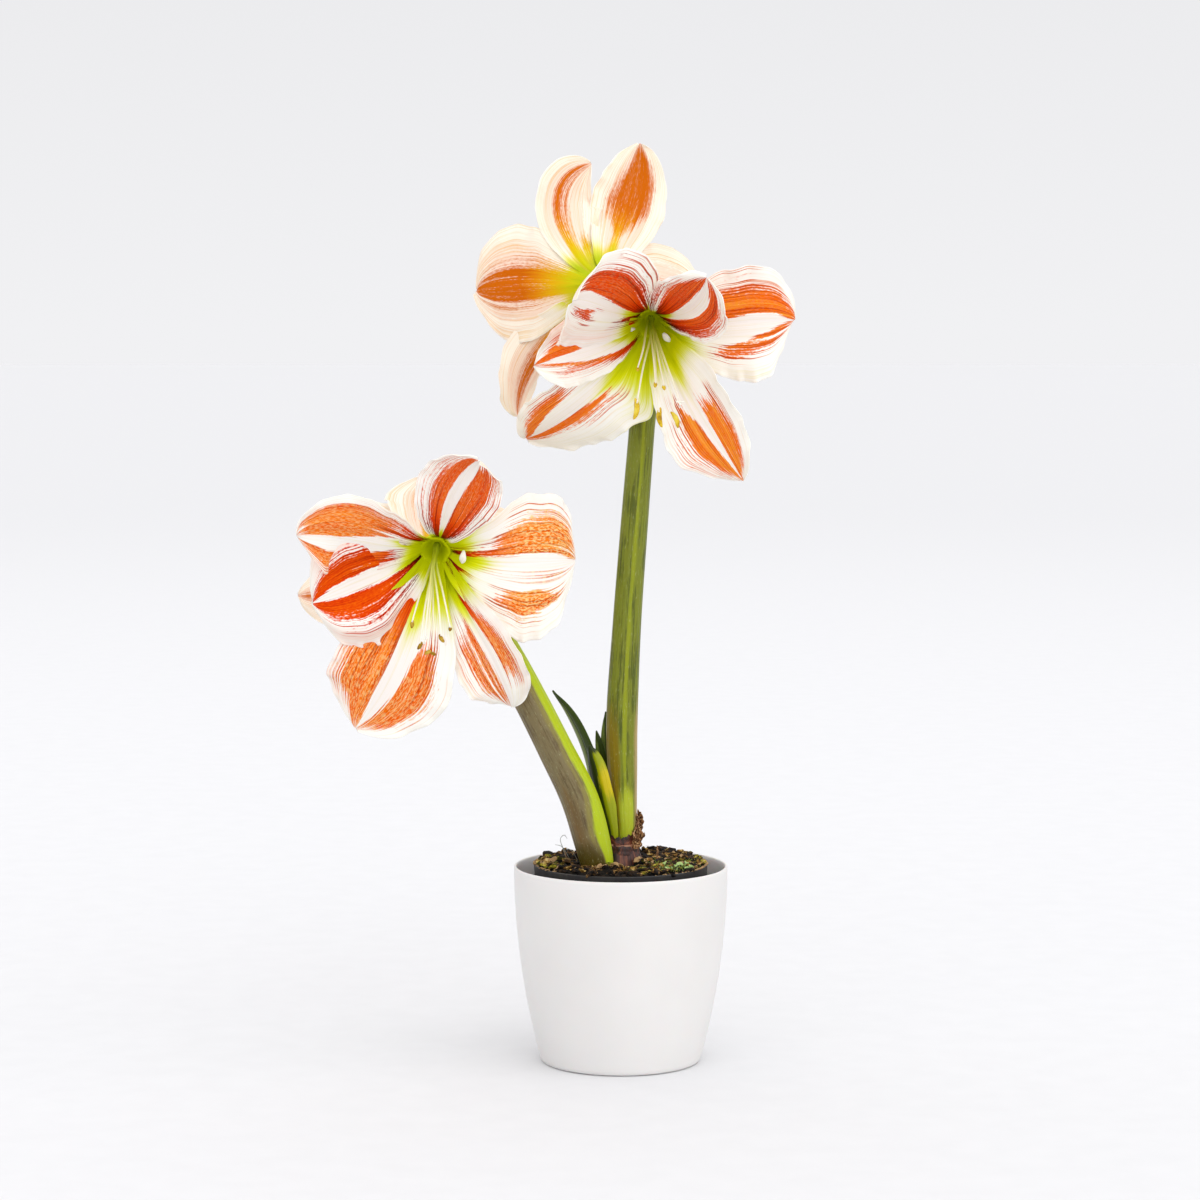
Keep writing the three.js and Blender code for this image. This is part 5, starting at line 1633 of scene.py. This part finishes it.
def petal(bloom_name, bloom, number, given):
    """One petal, with its back's skin outside and its face's skin inside."""
    given = {**USUAL_PETAL, **given}
    rows, columns = BACK_GRID if "back" in bloom_name else FRONT_GRID
    shape = petal_surface(bloom, given, CLAW_RADII[number % 2], 1.3 * number)
    piece = formed(f"petal_{bloom_name}_{number + 1}", rows, columns, shape)
    # every petal reads another part of the vein pattern
    uv = piece.data.uv_layers["UVMap"].data
    values = np.empty(len(uv) * 2)
    uv.foreach_get("uv", values)
    values = values.reshape(-1, 2) + np.array([3 * number + 1, 1.7 * number])
    uv.foreach_set("uv", values.ravel())
    # the grid's own normals point to the back of the petal
    for skin in (PETAL_BACK, PETAL_FACE):
        piece.data.materials.append(skin)
    thickened(piece, PETAL_THICKNESS, use_even_offset=True, material_offset=1,
              material_offset_rim=1)
    subdivide_smoothly(piece)
    paint_petal(piece, given)
    smooth(piece)
    return dress(piece, slot="petal", stands_for=f"petals_{bloom_name}")


def perianth_tube(bloom_name, bloom):
    """The short cup at the foot of a bloom, in which the petals' claws meet."""
    profile = np.array([
        (0.2, -2), (5.4, -2), (7.2, -0.9), (8.8, 3.5), (10.2, 8), (9.6, 8.9), (8.4, 8.4), (6.7, 6),
        (4.4, 1.0), (3.2, -0.4), (0.2, -0.5),
    ])
    forward, up, right = bloom_axes(bloom)

    def shape(s, t):
        r, ahead = on_profile(profile, s)
        turn = t * math.pi
        r = r * (1 + 0.04 * np.cos(6 * turn))
        return (
            np.array(bloom["base"]) + np.outer(ahead, forward)
            + np.outer(r * np.cos(turn), right) + np.outer(r * np.sin(turn), up)
        )

    piece = formed(f"perianth_tube_{bloom_name}", 30, 48, shape, round_it=True)
    for key in PETAL_MARKS[1:]:
        mark(piece, key, TUBE_MARKS.get(key, 0))
    smooth(piece)
    return dress(piece, PETAL_FACE, slot="petal", stands_for=f"petals_{bloom_name}")


def stamens(bloom_name, bloom):
    """Six filaments with their anthers, and the longer style with its three-lobed stigma."""
    role = dict(slot="stamen", stands_for=f"stamens_{bloom_name}")
    threads, anthers = [], []
    for i, (ahead, above, aside, half, turn) in enumerate(bloom["anthers"]):
        start = i * math.pi / 3
        threads.append(thread(f"filament_{i}", bloom, ahead, above, aside,
                              (1.5 * math.cos(start), 1.5 * math.sin(start))))
        end = in_bloom(bloom, ahead, above - 0.6 * half, aside)
        anthers.append(anther(f"anther_{bloom_name}_{i}", end, i, half, turn))
    dress(smooth(joined(f"filaments_{bloom_name}", threads)), FILAMENT, **role)
    dress(joined(f"anthers_{bloom_name}", anthers), bloom["pollen"], **role)
    parts = [thread("style", bloom, *bloom["style"], (0, 0))]
    tip = in_bloom(bloom, *bloom["style"])
    forward = bloom_axes(bloom)[0]
    for k in range(3):
        out = round_axis(bloom, k * 2 * math.pi / 3 + 0.5)[0]
        line = [(*(tip + forward * on + out * off), radius) for on, off, radius in STIGMA_LOBE]
        parts.append(tube(f"lobe_{k}", line, UP, 10, 10))
        mark(parts[-1], "along", 1)
    dress(smooth(joined(f"style_{bloom_name}", parts)), FILAMENT, **role)


def thread(name, bloom, ahead, above, aside, start):
    """A filament or style that sweeps down out of the throat and up to its end."""
    def station(reach, drop, across, radius):
        return (*in_bloom(bloom, reach, drop, across), radius)

    line = [
        station(-0.2, start[1], start[0], 0.9),
        station(0.3 * ahead, start[1] + 0.12 * above, start[0] + 0.2 * aside, 0.75),
        station(0.66 * ahead, 0.55 * above, 0.6 * aside, 0.62),
        station(ahead, above, aside, 0.42),
    ]
    return tube(name, line, UP, 12, 40)


def anther(name, end, number, half, turn):
    """A versatile anther: two pollen sacs side by side, tipped on its filament, slightly curved."""
    clear_selection()
    bpy.ops.mesh.primitive_uv_sphere_add(segments=16, ring_count=12, radius=MM)
    piece = adopt(name)
    points = points_of(piece)
    groove = 1 - 0.35 * np.exp(-((points[:, 0] / 0.3) ** 2)) * (points[:, 2] > -0.2)
    thick = 0.9 + 0.13 * half
    points = np.stack([points[:, 0] * thick, points[:, 1] * 0.8 * thick * groove,
                       points[:, 2] * half], -1)
    points[:, 0] += 0.035 * points[:, 2] ** 2 * (1 if number % 2 else -1)
    set_points(piece, points + 0.22 * crumpled(points, 1.1, number))
    spin = Matrix.Rotation(math.radians(turn), 4, "Y") @ Matrix.Rotation(-0.15, 4, "X")
    piece.data.transform(Matrix.Translation(Vector(end) * MM) @ spin)
    return smooth(piece)


def throat_scale(bloom_name, bloom, number, place, length, turn):
    """One of the small pale scales that fringe the throat."""
    forward = bloom_axes(bloom)[0]
    way, side = round_axis(bloom, math.radians(turn))

    def shape(s, t):
        half = 0.24 * length * np.sin(math.pi * np.clip(s, 0.02, 0.98) ** 0.8) ** 0.7
        out = 1.6 * np.sin(math.pi * s) - 0.8 * t * t + 0.3 * np.sin(9 * s + 3 * t)
        return (in_bloom(bloom, *place) + np.outer((s - 0.5) * length, way)
                + np.outer(t * half, side) + np.outer(out, forward))

    piece = formed(f"throat_scale_{bloom_name}_{number + 1}", 12, 8, shape)
    thickened(piece, THROAT_THICKNESS)
    subdivide_smoothly(piece)
    for key in PETAL_MARKS:
        mark(piece, key, -1 if key in ("band", "rib") else 0)
    smooth(piece)
    return dress(piece, PETAL_FACE, slot="petal", stands_for=f"petals_{bloom_name}")


# ---- the plant -----------------------------------------------------------------------------------

clear_selection()
bpy.ops.mesh.primitive_plane_add(size=2 * FLOOR_HALF, location=(0, 0, -FLOOR_DROP))
floor = adopt("studio_floor")
floor.data.materials.append(floor_paper())

cover_pot()
nursery_pot()
bulb_body()
bulb_roots()
tunic("neck_tunic_1", 13.9, 142.6, 200, 350, SCALE, 0.4, 0.25)
tunic("neck_tunic_lip", 13.4, 143.7, 30, 350, PALE_SCALE, 2.2, 0.18)
tunic("neck_tunic_2", 13.0, 145.4, 100, 350, WRAP, 3.1, 0.4, (6.5, 5))
tunic("neck_tunic_3", 12.4, 146.6, 250, 340, SCALE, 4.6, 0.7, (4, 6))
old_leaf_base()
compost()
on_ground()
loose_ends()
fallen_bud()
stem("upright", UPRIGHT_SKIN, upright_marks)
stem("leaning", LEANING_SKIN, leaning_marks)
for stem_name in STEMS:
    flower_stalks(stem_name)
    bracts(stem_name)
for leaf_name, entry in LEAVES.items():
    leaf(leaf_name, **entry)
for bloom_name, bloom in BLOOMS.items():
    bloom = {**USUAL_BLOOM, **bloom}
    perianth_tube(bloom_name, bloom)
    for number, given in enumerate(bloom["petals"]):
        petal(bloom_name, bloom, number, given)
    stamens(bloom_name, bloom)
    for number, (*place, length, turn) in enumerate(bloom["throat"]):
        throat_scale(bloom_name, bloom, number, place, length, turn)

clear_selection()
